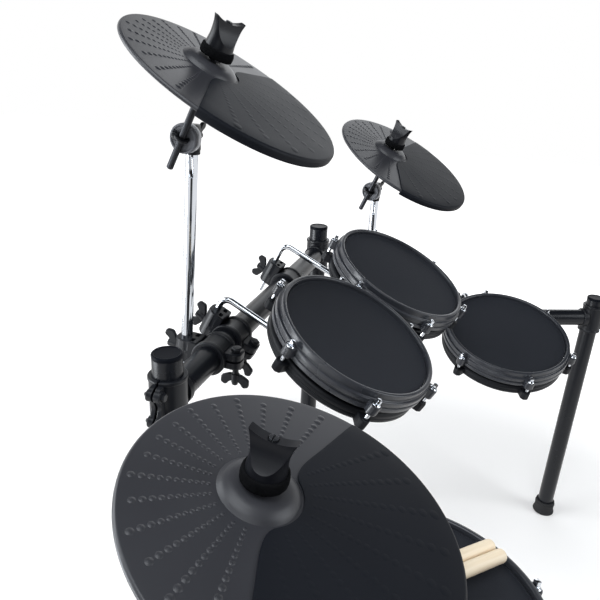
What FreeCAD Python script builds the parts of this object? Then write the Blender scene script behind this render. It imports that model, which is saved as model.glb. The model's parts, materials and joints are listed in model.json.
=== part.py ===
import FreeCAD, Part
import os
import re
import Sketcher
from FreeCAD import Placement, Rotation, Vector

# Driving sizes of the drum kit, in millimetres and degrees
rack_sizes = {
    "kit_shift_x": 95.98,
    "kit_shift_y": 260.35,
    "tube_diameter": 35,
    "tube_wall": 2,
    "rack_span": 590,
    "centre_tube_height": 678,
    "post_rise": 57,
    "side_tube_drop": 140,
    "side_tube_length": 620,
    "left_side_angle": 45,
    "right_side_angle": 24,
    "front_post_rise": 48,
    "fit_gap": 0.06,
    "seat_gap": 0.3,
    "cut_overrun": 2,
    "cap_height": 5,
    "cap_edge": 1.5,
    "plug_depth": 14,
    "foot_height": 34,
    "foot_sole": 7,
    "foot_wall": 4.5,
    "foot_edge": 3,
    "sleeve_wall": 4.2,
    "sleeve_height": 60,
    "spigot_length": 26,
    "ear_reach": 13,
    "ear_thickness": 6,
    "ear_slit": 2.5,
    "ear_height": 54,
    "ear_bolt_diameter": 6,
    "ear_bolt_spacing": 34,
    "bolt_head_diameter": 10,
    "bolt_head_height": 5,
}
clamp_sizes = {
    "clamp_width": 40,
    "clamp_wall": 6,
    "boss_width": 30,
    "boss_height": 32,
    "boss_wall": 5,
    "lug_reach": 17,
    "lug_width": 26,
    "lug_height": 22,
    "jaw_slit": 3,
    "wing_bolt_diameter": 8,
    "wing_bolt_length": 52,
    "wing_bolt_head_diameter": 15,
    "wing_bolt_head_height": 6,
    "thumb_span": 34,
    "thumb_height": 17,
    "thumb_thickness": 6,
    "wing_span": 40,
    "wing_height": 19,
    "wing_gap": 0.5,
    "pole_offset": 40,
    "arm_offset": 36,
    "arm_boss_rise": 8,
}
pad_sizes = {
    "arm_diameter": 9,
    "arm_bend": 14,
    "arm_tail": 38,
    "arm_end": 22,
    "arm_drop": 75,
    "head_diameter": 206,
    "head_thickness": 1.2,
    "head_sink": 6,
    "bead_height": 8,
    "bead_width": 1.6,
    "hoop_gap": 1.4,
    "lip_width": 6,
    "lip_crown": 1,
    "hoop_height": 26,
    "hoop_step": 9.5,
    "hoop_diameter": 226,
    "groove_depth": 2,
    "groove_top": 16,
    "groove_width": 4,
    "shell_gap": 0.3,
    "shell_wall": 4.5,
    "shell_depth": 50,
    "shell_floor": 4,
    "flange_top": 33,
    "flange_diameter": 220,
    "flange_edge": 3,
    "lug_circle": 236,
    "pad_ear_width": 15,
    "pad_ear_wall": 6,
    "pad_ear_top": 9.5,
    "pad_ear_height": 15,
    "receiver_top": 35,
    "receiver_height": 14,
    "tension_screw_diameter": 5.6,
    "screw_washer_diameter": 11,
    "screw_washer_height": 2.4,
    "screw_key_width": 5.6,
    "screw_key_height": 6,
    "mount_width": 34,
    "mount_front": 30,
    "mount_back": 42,
    "mount_wall": 8,
    "trigger_width": 26,
    "trigger_height": 4,
    "cone_diameter": 24,
    "cone_tip_diameter": 12,
}
cymbal_sizes = {
    "pole_diameter": 15,
    "pole_tail": 70,
    "tilter_width": 20,
    "tilter_height": 34,
    "tilter_disc_diameter": 36,
    "tilter_disc_width": 7,
    "tilter_pin_diameter": 8,
    "rod_side": 26,
    "rod_diameter": 8,
    "rod_tail": 38,
    "rod_rise": 91.9,
    "rod_eye_diameter": 22,
    "rod_eye_wall": 5,
    "rod_top": 40,
    "collar_diameter": 13,
    "collar_height": 10,
    "felt_gap": 0.9,
    "low_felt_height": 6,
    "low_felt_diameter": 20,
    "low_felt_crown": 1.2,
    "high_felt_height": 10.3,
    "high_felt_diameter": 36.4,
    "high_felt_crown": 2.4,
    "nut_base_diameter": 28,
    "nut_neck_diameter": 24,
    "nut_top_width": 37,
    "nut_thickness": 12,
    "nut_height": 30,
    "nut_notch": 4.5,
    "cymbal_diameter": 254,
    "cymbal_thickness": 3,
    "cymbal_bow": 2.5,
    "cymbal_lip": 4,
    "cymbal_lip_width": 4,
    "bell_shift": 32,
    "bell_diameter": 62,
    "bell_top_diameter": 40,
    "bell_height": 7,
    "bell_hole_diameter": 13,
    "rubber_thickness": 2,
    "rubber_lip": 11,
    "rubber_shoulder": 13,
    "rubber_shoulder_width": 88,
    "rubber_fall": 56,
    "rubber_bay_diameter": 66,
}
floor_sizes = {
    "kick_x": -60,
    "kick_y": -120,
    "kick_centre_height": 245,
    "kick_diameter": 190,
    "kick_wall": 5,
    "kick_depth": 46,
    "kick_head_thickness": 3,
    "kick_rim": 6,
    "tower_width": 60,
    "tower_thickness": 12,
    "tower_rise": 60,
    "tower_base_width": 300,
    "tower_base_depth": 44,
    "tower_base_height": 8,
    "pedal_width": 96,
    "pedal_plate": 6,
    "pedal_upright": 130,
    "pedal_upright_width": 14,
    "pedal_upright_depth": 24,
    "pedal_axle_diameter": 10,
    "pedal_axle_height": 116,
    "pedal_axle_y": 238,
    "board_length": 230,
    "board_width": 84,
    "board_thickness": 7,
    "board_angle": 14,
    "board_pin_diameter": 8,
    "board_pin_height": 20,
    "board_side_gap": 1,
    "heel_ear_width": 5,
    "tread_rib_width": 5,
    "tread_rib_height": 1.5,
    "beater_stem_diameter": 7,
    "beater_stem_length": 130,
    "beater_diameter": 44,
    "beater_width": 34,
    "beater_angle": 38,
    "beater_hub_width": 30,
    "beater_hub_diameter": 24,
    "beater_gap": 2,
    "control_x": -470,
    "control_y": -330,
    "control_turn": -25,
    "control_depth": 60,
    "control_rise": 34,
    "module_along": 412,
    "module_shift": 40,
    "module_side": 30,
    "module_rise": 78,
    "module_tilt": 32,
    "module_width": 170,
    "module_depth": 120,
    "module_height": 36,
    "module_recess": 1.5,
    "module_bracket_height": 8,
    "module_edge": 6,
    "module_dial_diameter": 34,
    "module_dial_height": 12,
    "module_dial_shaft": 7,
    "module_button_diameter": 12,
    "module_button_height": 5,
    "stick_diameter": 13,
    "stick_length": 400,
    "stick_taper": 90,
    "stick_tip_diameter": 9,
    "stick_gap": 0.3,
    "stick_round": 3,
    "stick_heading": 87.5,
    "stick_back": 96,
    "stick_shift": -1,
}
panel_shares = {"dial_x_share": 0.28, "button_x_share": -0.3, "screen_x_share": -0.1, "panel_y_share": 0.2}
tread_rib_count = 6

# Where each drum pad hangs: its tube, the clamp's place along the tube, the clamp's turn about the tube,
# the arm's reach and rise from the tube's axis, its turn in the clamp, the pad's roll on the arm and the
# turn of its lugs
drum_sizes = {
    "tom_1_along": 173,
    "tom_1_tilt": 26.9,
    "tom_1_reach": 141,
    "tom_1_rise": 47,
    "tom_1_turn": 0,
    "tom_1_roll": -2.8,
    "tom_1_lugs": 0,
    "tom_2_along": 404,
    "tom_2_tilt": 25.4,
    "tom_2_reach": 154,
    "tom_2_rise": 60,
    "tom_2_turn": 0,
    "tom_2_roll": -3.8,
    "tom_2_lugs": 9,
    "tom_3_along": 329,
    "tom_3_tilt": 16.8,
    "tom_3_reach": 171.6,
    "tom_3_rise": 41.6,
    "tom_3_turn": 0,
    "tom_3_roll": 0,
    "tom_3_lugs": 0,
    "snare_along": 330,
    "snare_tilt": 9,
    "snare_reach": 114,
    "snare_rise": 44.5,
    "snare_turn": 8.2,
    "snare_roll": 0,
    "snare_lugs": 40,
}
# Where each cymbal stands: its tube, the pole's place along it and beside it, the pole's lean, the tilter's
# height above the tube, the heading of the tilter's axis, the side of the bell, the rod's tilt, the
# cymbal's sag and the turn of its nut
stand_sizes = {
    "crash_along": 117.5,
    "crash_offset": 40,
    "crash_lean": 3.15,
    "crash_rise": 273,
    "crash_heading": 180,
    "crash_flip": 187,
    "crash_tilt": 25.8,
    "crash_sag": 5.7,
    "crash_nut": -28,
    "ride_along": 98.5,
    "ride_offset": 36,
    "ride_lean": 0,
    "ride_rise": 278,
    "ride_heading": 164.8,
    "ride_flip": 202,
    "ride_tilt": 24,
    "ride_sag": 5.4,
    "ride_nut": 75,
    "hihat_along": 285.2,
    "hihat_offset": 36,
    "hihat_lean": 0,
    "hihat_rise": 137.8,
    "hihat_heading": 0,
    "hihat_flip": 0,
    "hihat_tilt": -10,
    "hihat_sag": -7.7,
    "hihat_nut": 90,
}

doc = FreeCAD.newDocument("drum_kit")
sheet = doc.addObject("Spreadsheet::Sheet", "Sizes")
aliases = []
tables = [rack_sizes, clamp_sizes, pad_sizes, cymbal_sizes, floor_sizes, panel_shares, drum_sizes, stand_sizes]
for table in tables:
    for alias, value in table.items():
        aliases.append(alias)
        row = len(aliases)
        sheet.set("A%d" % row, alias)
        sheet.set("B%d" % row, str(value))
        sheet.setAlias("B%d" % row, alias)
doc.recompute()
known = set(aliases)
pieces = []
along_x = Vector(1, 0, 0)
along_y = Vector(0, 1, 0)
along_z = Vector(0, 0, 1)


def bound(text):
    # A sum of aliases, written as the document's objects read it
    def named(word):
        return "Sizes." + word.group(0) if word.group(0) in known else word.group(0)

    return re.sub(r"[a-z]\w*", named, text)


def number(text):
    return float(sheet.evalExpression(bound(text)))


def at(x, y, z):
    return Placement(Vector(number(x), number(y), number(z)), Rotation())


def turn(axis, angle):
    return Placement(Vector(), Rotation(axis, number(angle)))


lying_x = Placement(Vector(), Rotation(along_y, 90))
lying_y = Placement(Vector(), Rotation(along_x, -90))


def cylinder(name, place, diameter, length):
    item = doc.addObject("Part::Cylinder", name)
    item.setExpression("Radius", bound("(%s) / 2" % diameter))
    item.setExpression("Height", bound(length))
    item.Placement = place
    return item


def cone(name, place, low_diameter, high_diameter, height):
    item = doc.addObject("Part::Cone", name)
    item.setExpression("Radius1", bound("(%s) / 2" % low_diameter))
    item.setExpression("Radius2", bound("(%s) / 2" % high_diameter))
    item.setExpression("Height", bound(height))
    item.Placement = place
    return item


def block(name, place, length, width, height):
    # A box that stands on the middle of its lower face
    item = doc.addObject("Part::Box", name)
    item.setExpression("Length", bound(length))
    item.setExpression("Width", bound(width))
    item.setExpression("Height", bound(height))
    item.Placement = place * at("-(%s) / 2" % length, "-(%s) / 2" % width, "0")
    return item


def bend(name, place, radius, diameter):
    # A quarter ring from the place's Y axis to its Z axis
    item = doc.addObject("Part::Torus", name)
    item.setExpression("Radius1", bound(radius))
    item.setExpression("Radius2", bound("(%s) / 2" % diameter))
    item.Angle3 = 90
    item.Placement = place * Placement(Vector(), Rotation(along_y, along_z, along_x, "ZXY"))
    return item


def joined(name, items):
    item = doc.addObject("Part::MultiFuse", name)
    item.Shapes = items
    item.Refine = True
    return item


def cut(name, base, tools):
    item = doc.addObject("Part::Cut", name)
    item.Base = base
    item.Tool = tools[0] if len(tools) == 1 else joined(name + "_tools", tools)
    item.Refine = True
    return item


def plane_of(body, role):
    return [feature for feature in body.Origin.OriginFeatures if feature.Role == role][0]


def draw(body, name, role, outline):
    # A closed outline of straight runs, each corner tied to the sheet
    sketch = body.newObject("Sketcher::SketchObject", name)
    sketch.AttachmentSupport = [(plane_of(body, role), "")]
    sketch.MapMode = "FlatFace"
    corners = [Vector(number(across), number(up), 0) for across, up in outline]
    for start, end in zip(corners, corners[1:] + corners[:1]):
        sketch.addGeometry(Part.LineSegment(start, end), False)
    count = len(outline)
    for index in range(count):
        sketch.addConstraint(Sketcher.Constraint("Coincident", index, 2, (index + 1) % count, 1))
    for index, corner in enumerate(outline):
        for kind, axis, text in zip(("DistanceX", "DistanceY"), (-2, -1), corner):
            if text == "0":
                sketch.addConstraint(Sketcher.Constraint("PointOnObject", index, 1, axis))
            else:
                spot = sketch.addConstraint(Sketcher.Constraint(kind, -1, 1, index, 1, number(text)))
                sketch.setExpression("Constraints[%d]" % spot, bound(text))
    return sketch


def turned(name, place, outline):
    # An outline of radius and height, turned about the place's Z axis
    body = doc.addObject("PartDesign::Body", name)
    sketch = draw(body, name + "_outline", "XZ_Plane", outline)
    whole = body.newObject("PartDesign::Revolution", name + "_turn")
    whole.Profile = sketch
    whole.ReferenceAxis = (sketch, ["V_Axis"])
    whole.Angle = 360
    body.Placement = place
    return body


def padded_up(name, place, role, outline, length):
    # An outline pushed out to both sides of its plane
    body = doc.addObject("PartDesign::Body", name)
    sketch = draw(body, name + "_outline", role, outline)
    whole = body.newObject("PartDesign::Pad", name + "_pad")
    whole.Profile = sketch
    whole.setExpression("Length", bound(length))
    whole.Midplane = True
    body.Placement = place
    return body


def keep(label, items):
    # One node: a single solid, or a set of separate ones
    if len(items) == 1:
        item = items[0]
    else:
        item = doc.addObject("Part::Compound", label)
        item.Links = items
    item.Label = label
    pieces.append(item)
    return item


def pipe(name, place, length):
    outer = cylinder(name + "_outside", place, "tube_diameter", length)
    inner = cylinder(
        name + "_bore",
        place * at("0", "0", "-cut_overrun"),
        "tube_diameter - 2 * tube_wall",
        "%s + 2 * cut_overrun" % length,
    )
    return cut(name, outer, [inner])


def post(name, foot, top):
    return pipe(name, foot * at("0", "0", "foot_sole"), "%s - cap_height - foot_sole" % top)


def post_cap(name, foot, top):
    plug = "tube_diameter / 2 - tube_wall - seat_gap"
    outline = [
        ("0", "-plug_depth"),
        (plug, "-plug_depth"),
        (plug, "0"),
        ("tube_diameter / 2", "0"),
        ("tube_diameter / 2", "cap_height - cap_edge"),
        ("tube_diameter / 2 - cap_edge", "cap_height"),
        ("0", "cap_height"),
    ]
    return turned(name, foot * at("0", "0", "%s - cap_height" % top), outline)


def post_foot(name, foot):
    inside = "tube_diameter / 2 + seat_gap"
    outside = "tube_diameter / 2 + foot_wall"
    outline = [
        ("0", "0"),
        (outside, "0"),
        (outside + " + foot_edge", "foot_edge"),
        (outside, "foot_height"),
        (inside, "foot_height"),
        (inside, "foot_sole"),
        ("0", "foot_sole"),
    ]
    return turned(name, foot, outline)


def cross_tube(name, start, length):
    # A tube between two upright sleeves, its ends shaped to them
    whole = pipe(name + "_whole", start * lying_x, length)
    saddles = []
    for end, spot in (("near", "0"), ("far", length)):
        saddles.append(
            cylinder(
                name + "_" + end,
                start * at(spot, "0", "-sleeve_height"),
                "tube_diameter + 2 * sleeve_wall + 2 * seat_gap",
                "2 * sleeve_height",
            )
        )
    return cut(name, whole, saddles)


def tee(name, spot, gap):
    # The joint between a post and a tube: X points along the tube, Z up the post
    sleeve = cylinder(name + "_sleeve", spot * at("0", "0", "-sleeve_height / 2"),
                      "tube_diameter + 2 * sleeve_wall", "sleeve_height")
    ears = block(
        name + "_ears",
        spot * at("-(tube_diameter / 2 + (sleeve_wall + ear_reach) / 2)", "0", "-ear_height / 2"),
        "sleeve_wall + ear_reach",
        "2 * ear_thickness + ear_slit",
        "ear_height",
    )
    spigot = cylinder(
        name + "_spigot",
        spot * at("tube_diameter / 2 + sleeve_wall / 2", "0", "0") * lying_x,
        "tube_diameter - 2 * tube_wall - 2 * seat_gap",
        "spigot_length + sleeve_wall / 2",
    )
    bore = cylinder(name + "_bore", spot * at("0", "0", "-sleeve_height"),
                    "tube_diameter + 2 * %s" % gap, "2 * sleeve_height")
    slit = block(name + "_slit", spot * at("-(tube_diameter / 2 + ear_reach)", "0", "-sleeve_height"),
                 "tube_diameter / 2 + 2 * ear_reach", "ear_slit", "2 * sleeve_height")
    holes = []
    for side in ("-", ""):
        place = spot * ear_bolt_spot(side) * at("0", "-(2 * ear_thickness + ear_slit)", "0")
        holes.append(cylinder(name + "_hole", place * lying_y, "ear_bolt_diameter + 2 * fit_gap",
                              "4 * ear_thickness + 2 * ear_slit"))
    return cut(name, joined(name + "_body", [sleeve, ears, spigot]), [bore, slit] + holes)


def ear_bolt_spot(side):
    return at("-(tube_diameter / 2 + sleeve_wall + ear_reach / 2)", "0", side + "ear_bolt_spacing / 2")


def tee_bolts(name, spot):
    bolts = []
    for side in ("-", ""):
        place = spot * ear_bolt_spot(side)
        shank = cylinder(name + "_shank", place * at("0", "-(ear_thickness + ear_slit / 2)", "0") * lying_y,
                         "ear_bolt_diameter", "2 * ear_thickness + ear_slit + bolt_head_height")
        head = cylinder(name + "_head",
                        place * at("0", "-(ear_thickness + ear_slit / 2 + bolt_head_height)", "0") * lying_y,
                        "bolt_head_diameter", "bolt_head_height")
        bolts.append(joined(name + "_bolt", [shank, head]))
    return bolts


def rack_clamp(name, spot, diameter, offset, rise):
    # A clamp on a tube along X, with an upright bore at its +Y side and a screwed jaw at its -Y side
    ring = cylinder(name + "_ring", spot * at("-clamp_width / 2", "0", "0") * lying_x,
                    "tube_diameter + 2 * clamp_wall", "clamp_width")
    boss_length = "%s + %s / 2 + boss_wall" % (offset, diameter)
    boss = block(name + "_boss", spot * at("0", "(%s) / 2" % boss_length, "-boss_height / 2"),
                 "boss_width", boss_length, "boss_height + " + rise)
    lug_length = "tube_diameter / 2 + clamp_wall + lug_reach"
    lug = block(name + "_lug", spot * at("0", "-(%s) / 2" % lug_length, "-lug_height / 2"),
                "lug_width", lug_length, "lug_height")
    tools = [
        cylinder(name + "_tube", spot * at("-clamp_width", "0", "0") * lying_x,
                 "tube_diameter + 2 * fit_gap", "2 * clamp_width"),
        cylinder(name + "_bore", spot * at("0", offset, "-boss_height"),
                 "%s + 2 * fit_gap" % diameter, "2 * boss_height + " + rise),
        cylinder(name + "_lock", spot * at("0", offset, "0") * lying_y,
                 "wing_bolt_diameter + 2 * fit_gap", boss_length),
        block(name + "_jaw", spot * at("0", "-(%s)" % lug_length, "-jaw_slit / 2"),
              "2 * clamp_width", "2 * (%s) - tube_diameter + 2 * tube_wall" % lug_length, "jaw_slit"),
        cylinder(name + "_bolt_hole", spot * jaw_bolt_spot() * at("0", "0", "-lug_height"),
                 "wing_bolt_diameter + 2 * fit_gap", "2 * lug_height"),
    ]
    return cut(name, joined(name + "_body", [ring, boss, lug]), tools)


def jaw_bolt_spot():
    return at("0", "-(tube_diameter / 2 + clamp_wall + lug_reach / 2)", "0")


def clamp_screws(name, spot, diameter, offset):
    # The jaw's wing bolt, which hangs below the clamp, and the screw that locks the upright rod
    place = spot * jaw_bolt_spot()
    shank = cylinder(name + "_shank", place * at("0", "0", "lug_height / 2 - wing_bolt_length"),
                     "wing_bolt_diameter", "wing_bolt_length")
    head = cylinder(name + "_head", place * at("0", "0", "lug_height / 2"),
                    "wing_bolt_head_diameter", "wing_bolt_head_height")
    wings = block(name + "_wings", place * at("0", "0", "lug_height / 2 - wing_bolt_length"),
                  "thumb_thickness", "wing_span", "wing_height")
    tip = spot * at("0", "%s + %s / 2 + seat_gap" % (offset, diameter), "0")
    length = "boss_wall + wing_height / 2 + wing_gap"
    screw = cylinder(name + "_screw", tip * lying_y, "wing_bolt_diameter", length)
    handle = block(name + "_handle", tip * at("0", length, "-wing_span / 2"),
                   "thumb_thickness", "wing_height", "wing_span")
    return [joined(name + "_jaw_bolt", [shank, head, wings]), joined(name + "_lock_screw", [screw, handle])]


def bent_arm(name, socket, reach, rise):
    # The chrome rod: upright in its clamp, then bent towards the pad
    upright = cylinder(name + "_upright", socket * at("0", "0", "-arm_tail"), "arm_diameter",
                       "%s + arm_tail - arm_bend" % rise)
    turning = socket * at("0", "-arm_bend", "%s - arm_bend" % rise)
    corner = bend(name + "_corner", turning, "arm_bend", "arm_diameter")
    length = "%s + arm_offset - arm_bend + arm_end" % reach
    level = cylinder(name + "_level", socket * at("0", "-arm_bend - (%s)" % length, rise) * lying_y,
                     "arm_diameter", length)
    return joined(name, [upright, corner, level])


def round_places(place, count):
    return [place * turn(along_z, "360 / %d * %d" % (count, index)) for index in range(count)]


lug_count = 6


def pad_head(name, pad):
    edge = "head_diameter / 2"
    inner = "head_diameter / 2 - bead_width"
    outline = [
        ("0", "-head_sink - head_thickness"),
        (inner, "-head_sink - head_thickness"),
        (inner, "-head_sink - bead_height"),
        (edge, "-head_sink - bead_height"),
        (edge, "-head_sink"),
        ("0", "-head_sink"),
    ]
    return turned(name, pad, outline)


def pad_hoop(name, pad):
    inner = "head_diameter / 2 + seat_gap"
    lip = "head_diameter / 2 + seat_gap + lip_width"
    outer = "hoop_diameter / 2"
    outline = [
        (inner, "-hoop_height"),
        (outer + " - lip_crown", "-hoop_height"),
        (outer, "-hoop_height + lip_crown"),
        (outer, "-groove_top - groove_width"),
        (outer + " - groove_depth", "-groove_top - groove_width + groove_depth / 2"),
        (outer + " - groove_depth", "-groove_top - groove_depth / 2"),
        (outer, "-groove_top"),
        (outer, "-hoop_step - lip_crown"),
        (outer + " - lip_crown", "-hoop_step"),
        (lip, "-hoop_step + lip_crown"),
        (lip, "-2 * lip_crown"),
        (lip + " - lip_crown", "-lip_crown / 2"),
        (lip + " - lip_width / 2", "0"),
        (inner + " + lip_crown", "-lip_crown / 2"),
        (inner, "-2 * lip_crown"),
    ]
    ring = turned(name + "_ring", pad, outline)
    ears = []
    holes = []
    for place in round_places(pad, lug_count):
        length = "(lug_circle - hoop_diameter) / 2 + groove_depth + hoop_gap + pad_ear_wall"
        middle = "lug_circle / 2 + pad_ear_wall - (%s) / 2" % length
        ears.append(
            block(
                name + "_ear",
                place * at("0", middle, "-pad_ear_top - pad_ear_height"),
                "pad_ear_width",
                length,
                "pad_ear_height",
            )
        )
        holes.append(cylinder(name + "_hole", place * at("0", "lug_circle / 2", "-2 * hoop_height"),
                              "tension_screw_diameter + 2 * fit_gap", "2 * hoop_height"))
    return cut(name, joined(name + "_body", [ring] + ears), holes)


def pad_shell(name, pad, lugs):
    # A cup with a flange, the screw receivers and the block that the arm goes through
    edge = "head_diameter / 2 - bead_width - shell_gap"
    inner = edge + " - shell_wall"
    top = "-head_sink - head_thickness"
    flange = "flange_diameter / 2"
    outline = [
        ("0", "-shell_depth"),
        (flange + " - flange_edge", "-shell_depth"),
        (flange, "-shell_depth + flange_edge"),
        (flange, "-flange_top - flange_edge"),
        (flange + " - flange_edge", "-flange_top"),
        (edge, "-flange_top"),
        (edge, top),
        (inner, top),
        (inner, "-shell_depth + shell_floor"),
        ("0", "-shell_depth + shell_floor"),
    ]
    cup = turned(name + "_cup", pad, outline)
    items = [cup]
    holes = []
    for place in round_places(lugs, lug_count):
        length = "(lug_circle - flange_diameter) / 2 + flange_edge + pad_ear_wall"
        middle = "lug_circle / 2 + pad_ear_wall - (%s) / 2" % length
        items.append(
            block(
                name + "_receiver",
                place * at("0", middle, "-receiver_top - receiver_height"),
                "pad_ear_width",
                length,
                "receiver_height",
            )
        )
        thread = place * at("0", "lug_circle / 2", "-receiver_top - receiver_height / 2")
        holes.append(cylinder(name + "_thread", thread, "tension_screw_diameter + 2 * fit_gap",
                              "receiver_height"))
    drop = "arm_drop + arm_diameter / 2 + mount_wall - shell_depth"
    seat = pad * at("0", "(mount_back - mount_front) / 2", "-shell_depth - (%s)" % drop)
    items.append(block(name + "_mount", seat, "mount_width", "mount_front + mount_back", drop))
    bore = pad * at("0", "-mount_front - cut_overrun", "-arm_drop") * lying_y
    holes.append(cylinder(name + "_socket", bore, "arm_diameter + 2 * fit_gap",
                          "mount_front + mount_back + 2 * cut_overrun"))
    return cut(name, joined(name + "_body", items), holes)


def pad_screws(name, pad):
    screws = []
    for place in round_places(pad, lug_count):
        spot = place * at("0", "lug_circle / 2", "-pad_ear_top")
        foot = place * at("0", "lug_circle / 2", "-receiver_top - receiver_height / 2")
        shank = cylinder(name + "_shank", foot, "tension_screw_diameter",
                         "receiver_top + receiver_height / 2 - pad_ear_top")
        washer = cylinder(name + "_washer", spot, "screw_washer_diameter", "screw_washer_height")
        key = block(name + "_key", spot * at("0", "0", "screw_washer_height"),
                    "screw_key_width", "screw_key_width", "screw_key_height")
        screws.append(joined(name + "_screw", [shank, washer, key]))
    return screws


def pad_trigger(name, pad):
    # A bridge plate with a sensor and the foam cone that touches the head
    inner = "head_diameter - 2 * bead_width - 2 * shell_gap - 2 * shell_wall"
    low = "-shell_depth + shell_floor"
    bar = block(name + "_bar", pad * at("0", "0", low), "trigger_width", "(%s) / 2" % inner, "trigger_height")
    foam_low = low + " + trigger_height"
    foam = cone(name + "_cone", pad * at("0", "0", foam_low), "cone_diameter", "cone_tip_diameter",
                "shell_depth - shell_floor - trigger_height - head_sink - head_thickness - seat_gap")
    return [bar, foam]


def drum_pad(name, tube):
    clamp = tube * turn(along_x, name + "_tilt")
    socket = clamp * at("0", "arm_offset", "0") * turn(along_z, name + "_turn")
    reach = name + "_reach"
    rise = name + "_rise"
    keep(name + "_arm", [bent_arm(name + "_rod", socket, reach, rise)])
    roll = socket * at("0", "0", rise) * turn(along_y, name + "_roll")
    pad = roll * at("0", "-(%s + arm_offset)" % reach, "arm_drop")
    keep(name + "_head", [pad_head(name + "_skin", pad)])
    lugs = pad * turn(along_z, name + "_lugs")
    keep(name + "_hoop", [pad_hoop(name + "_rim", lugs)])
    keep(name + "_shell", [pad_shell(name + "_body", pad, lugs)])
    keep(name + "_screws", pad_screws(name + "_tension", lugs))
    keep(name + "_trigger", pad_trigger(name + "_sensor", pad))
    return clamp, pad


def cymbal_plate(name, place):
    # Z is the rod's axis; the dish lies in front of it by the bell's shift
    rim = "cymbal_diameter / 2"
    knee = "bell_diameter / 2"
    dish = turned(
        name + "_dish",
        place * at("0", "-bell_shift", "0"),
        [
            ("0", "cymbal_bow - cymbal_thickness"),
            (knee, "cymbal_bow - cymbal_thickness"),
            (rim + " - cymbal_lip_width", "-cymbal_thickness"),
            (rim + " - cymbal_lip_width", "-cymbal_lip"),
            (rim, "-cymbal_lip"),
            (rim, "-cymbal_lip_width / 2"),
            (rim + " - cymbal_lip_width / 2", "0"),
            (knee, "cymbal_bow"),
            ("0", "cymbal_bow"),
        ],
    )
    top = "cymbal_bow + bell_height"
    bell = turned(
        name + "_bell",
        place,
        [
            ("0", "cymbal_bow - cymbal_thickness"),
            (knee, "cymbal_bow - cymbal_thickness"),
            (knee, "cymbal_bow"),
            ("bell_top_diameter / 2 + cymbal_thickness", "cymbal_bow + bell_height * 0.6"),
            ("bell_top_diameter / 2", "cymbal_bow + bell_height * 0.85"),
            ("bell_top_diameter / 2 - cymbal_thickness", top),
            ("0", top),
        ],
    )
    hollow = turned(
        name + "_hollow",
        place,
        [
            ("0", "cymbal_bow - cymbal_thickness - cut_overrun"),
            (knee + " - cymbal_thickness", "cymbal_bow - cymbal_thickness - cut_overrun"),
            (knee + " - cymbal_thickness", "cymbal_bow - cymbal_thickness / 2"),
            ("bell_top_diameter / 2", "cymbal_bow + bell_height * 0.6 - cymbal_thickness"),
            ("bell_top_diameter / 2 - 2 * cymbal_thickness", top + " - cymbal_thickness"),
            ("0", top + " - cymbal_thickness"),
        ],
    )
    hole = cylinder(name + "_hole", place, "bell_hole_diameter", "2 * (%s)" % top)
    return cut(name + "_plate", joined(name + "_form", [dish, bell]), [hollow, hole])


def strike_rubber(name, place):
    # The soft half: a skin over the dish with a thick rolled edge, scooped out round the bell
    dish = place * at("0", "-bell_shift", "0")
    rim = "cymbal_diameter / 2"
    knee = "bell_diameter / 2"
    skin = turned(
        name + "_skin",
        dish,
        [
            ("0", "cymbal_bow - cymbal_thickness / 2"),
            (knee, "cymbal_bow - cymbal_thickness / 2"),
            (rim + " - cymbal_lip_width", "-cymbal_thickness / 2"),
            (rim + " - cymbal_lip_width", "-rubber_lip + rubber_thickness"),
            (rim + " - cymbal_lip_width / 2", "-rubber_lip + rubber_thickness"),
            (rim, "-rubber_lip + 2 * rubber_thickness"),
            (rim, "-rubber_thickness"),
            (rim + " - rubber_thickness", "rubber_thickness / 2"),
            (knee, "cymbal_bow + rubber_thickness / 2"),
            ("0", "cymbal_bow + rubber_thickness / 2"),
        ],
    )
    tall = "4 * (rubber_lip + bell_height)"
    back = padded_up(
        name + "_back",
        dish,
        "XY_Plane",
        [
            ("-cymbal_diameter", "rubber_shoulder - rubber_fall"),
            ("-rubber_shoulder_width / 2", "rubber_shoulder"),
            ("rubber_shoulder_width / 2", "rubber_shoulder"),
            ("cymbal_diameter", "rubber_shoulder - rubber_fall"),
            ("cymbal_diameter", "cymbal_diameter"),
            ("-cymbal_diameter", "cymbal_diameter"),
        ],
        tall,
    )
    bay = cylinder(name + "_bay", place * at("0", "0", "-(%s) / 2" % tall), "rubber_bay_diameter", tall)
    return cut(name, skin, [back, bay])


def stand_pole(name, clamp, head):
    # The pole in its clamp, and the tilter's fixed head with a disc on the rod's side
    length = "pole_tail + %s_rise - tilter_height / 2" % name
    pole = cylinder(name + "_mast", clamp * at("0", name + "_offset", "-pole_tail"), "pole_diameter", length)
    body = block(name + "_head_body", head * at("0", "0", "-tilter_height / 2"), "tilter_width", "tilter_width",
                 "tilter_height")
    disc = cylinder(name + "_head_disc", head * at("0", "0", "0") * lying_x, "tilter_disc_diameter",
                    "tilter_width / 2 + tilter_disc_width")
    hole = cylinder(name + "_head_hole", head * at("-tilter_width", "0", "0") * lying_x,
                    "tilter_pin_diameter + 2 * fit_gap", "2 * tilter_width + tilter_disc_width")
    solid = cut(name + "_tilter_head", joined(name + "_head_form", [body, disc]), [hole])
    return [cut(name + "_mast_cut", pole, [solid]), solid]


# From the middle of the bell's plate to the far faces of the washers below and above it
low_stack = "(cymbal_thickness / 2 + felt_gap + low_felt_crown + low_felt_height)"
high_stack = "(cymbal_thickness / 2 + felt_gap + high_felt_crown + high_felt_height)"


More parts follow.
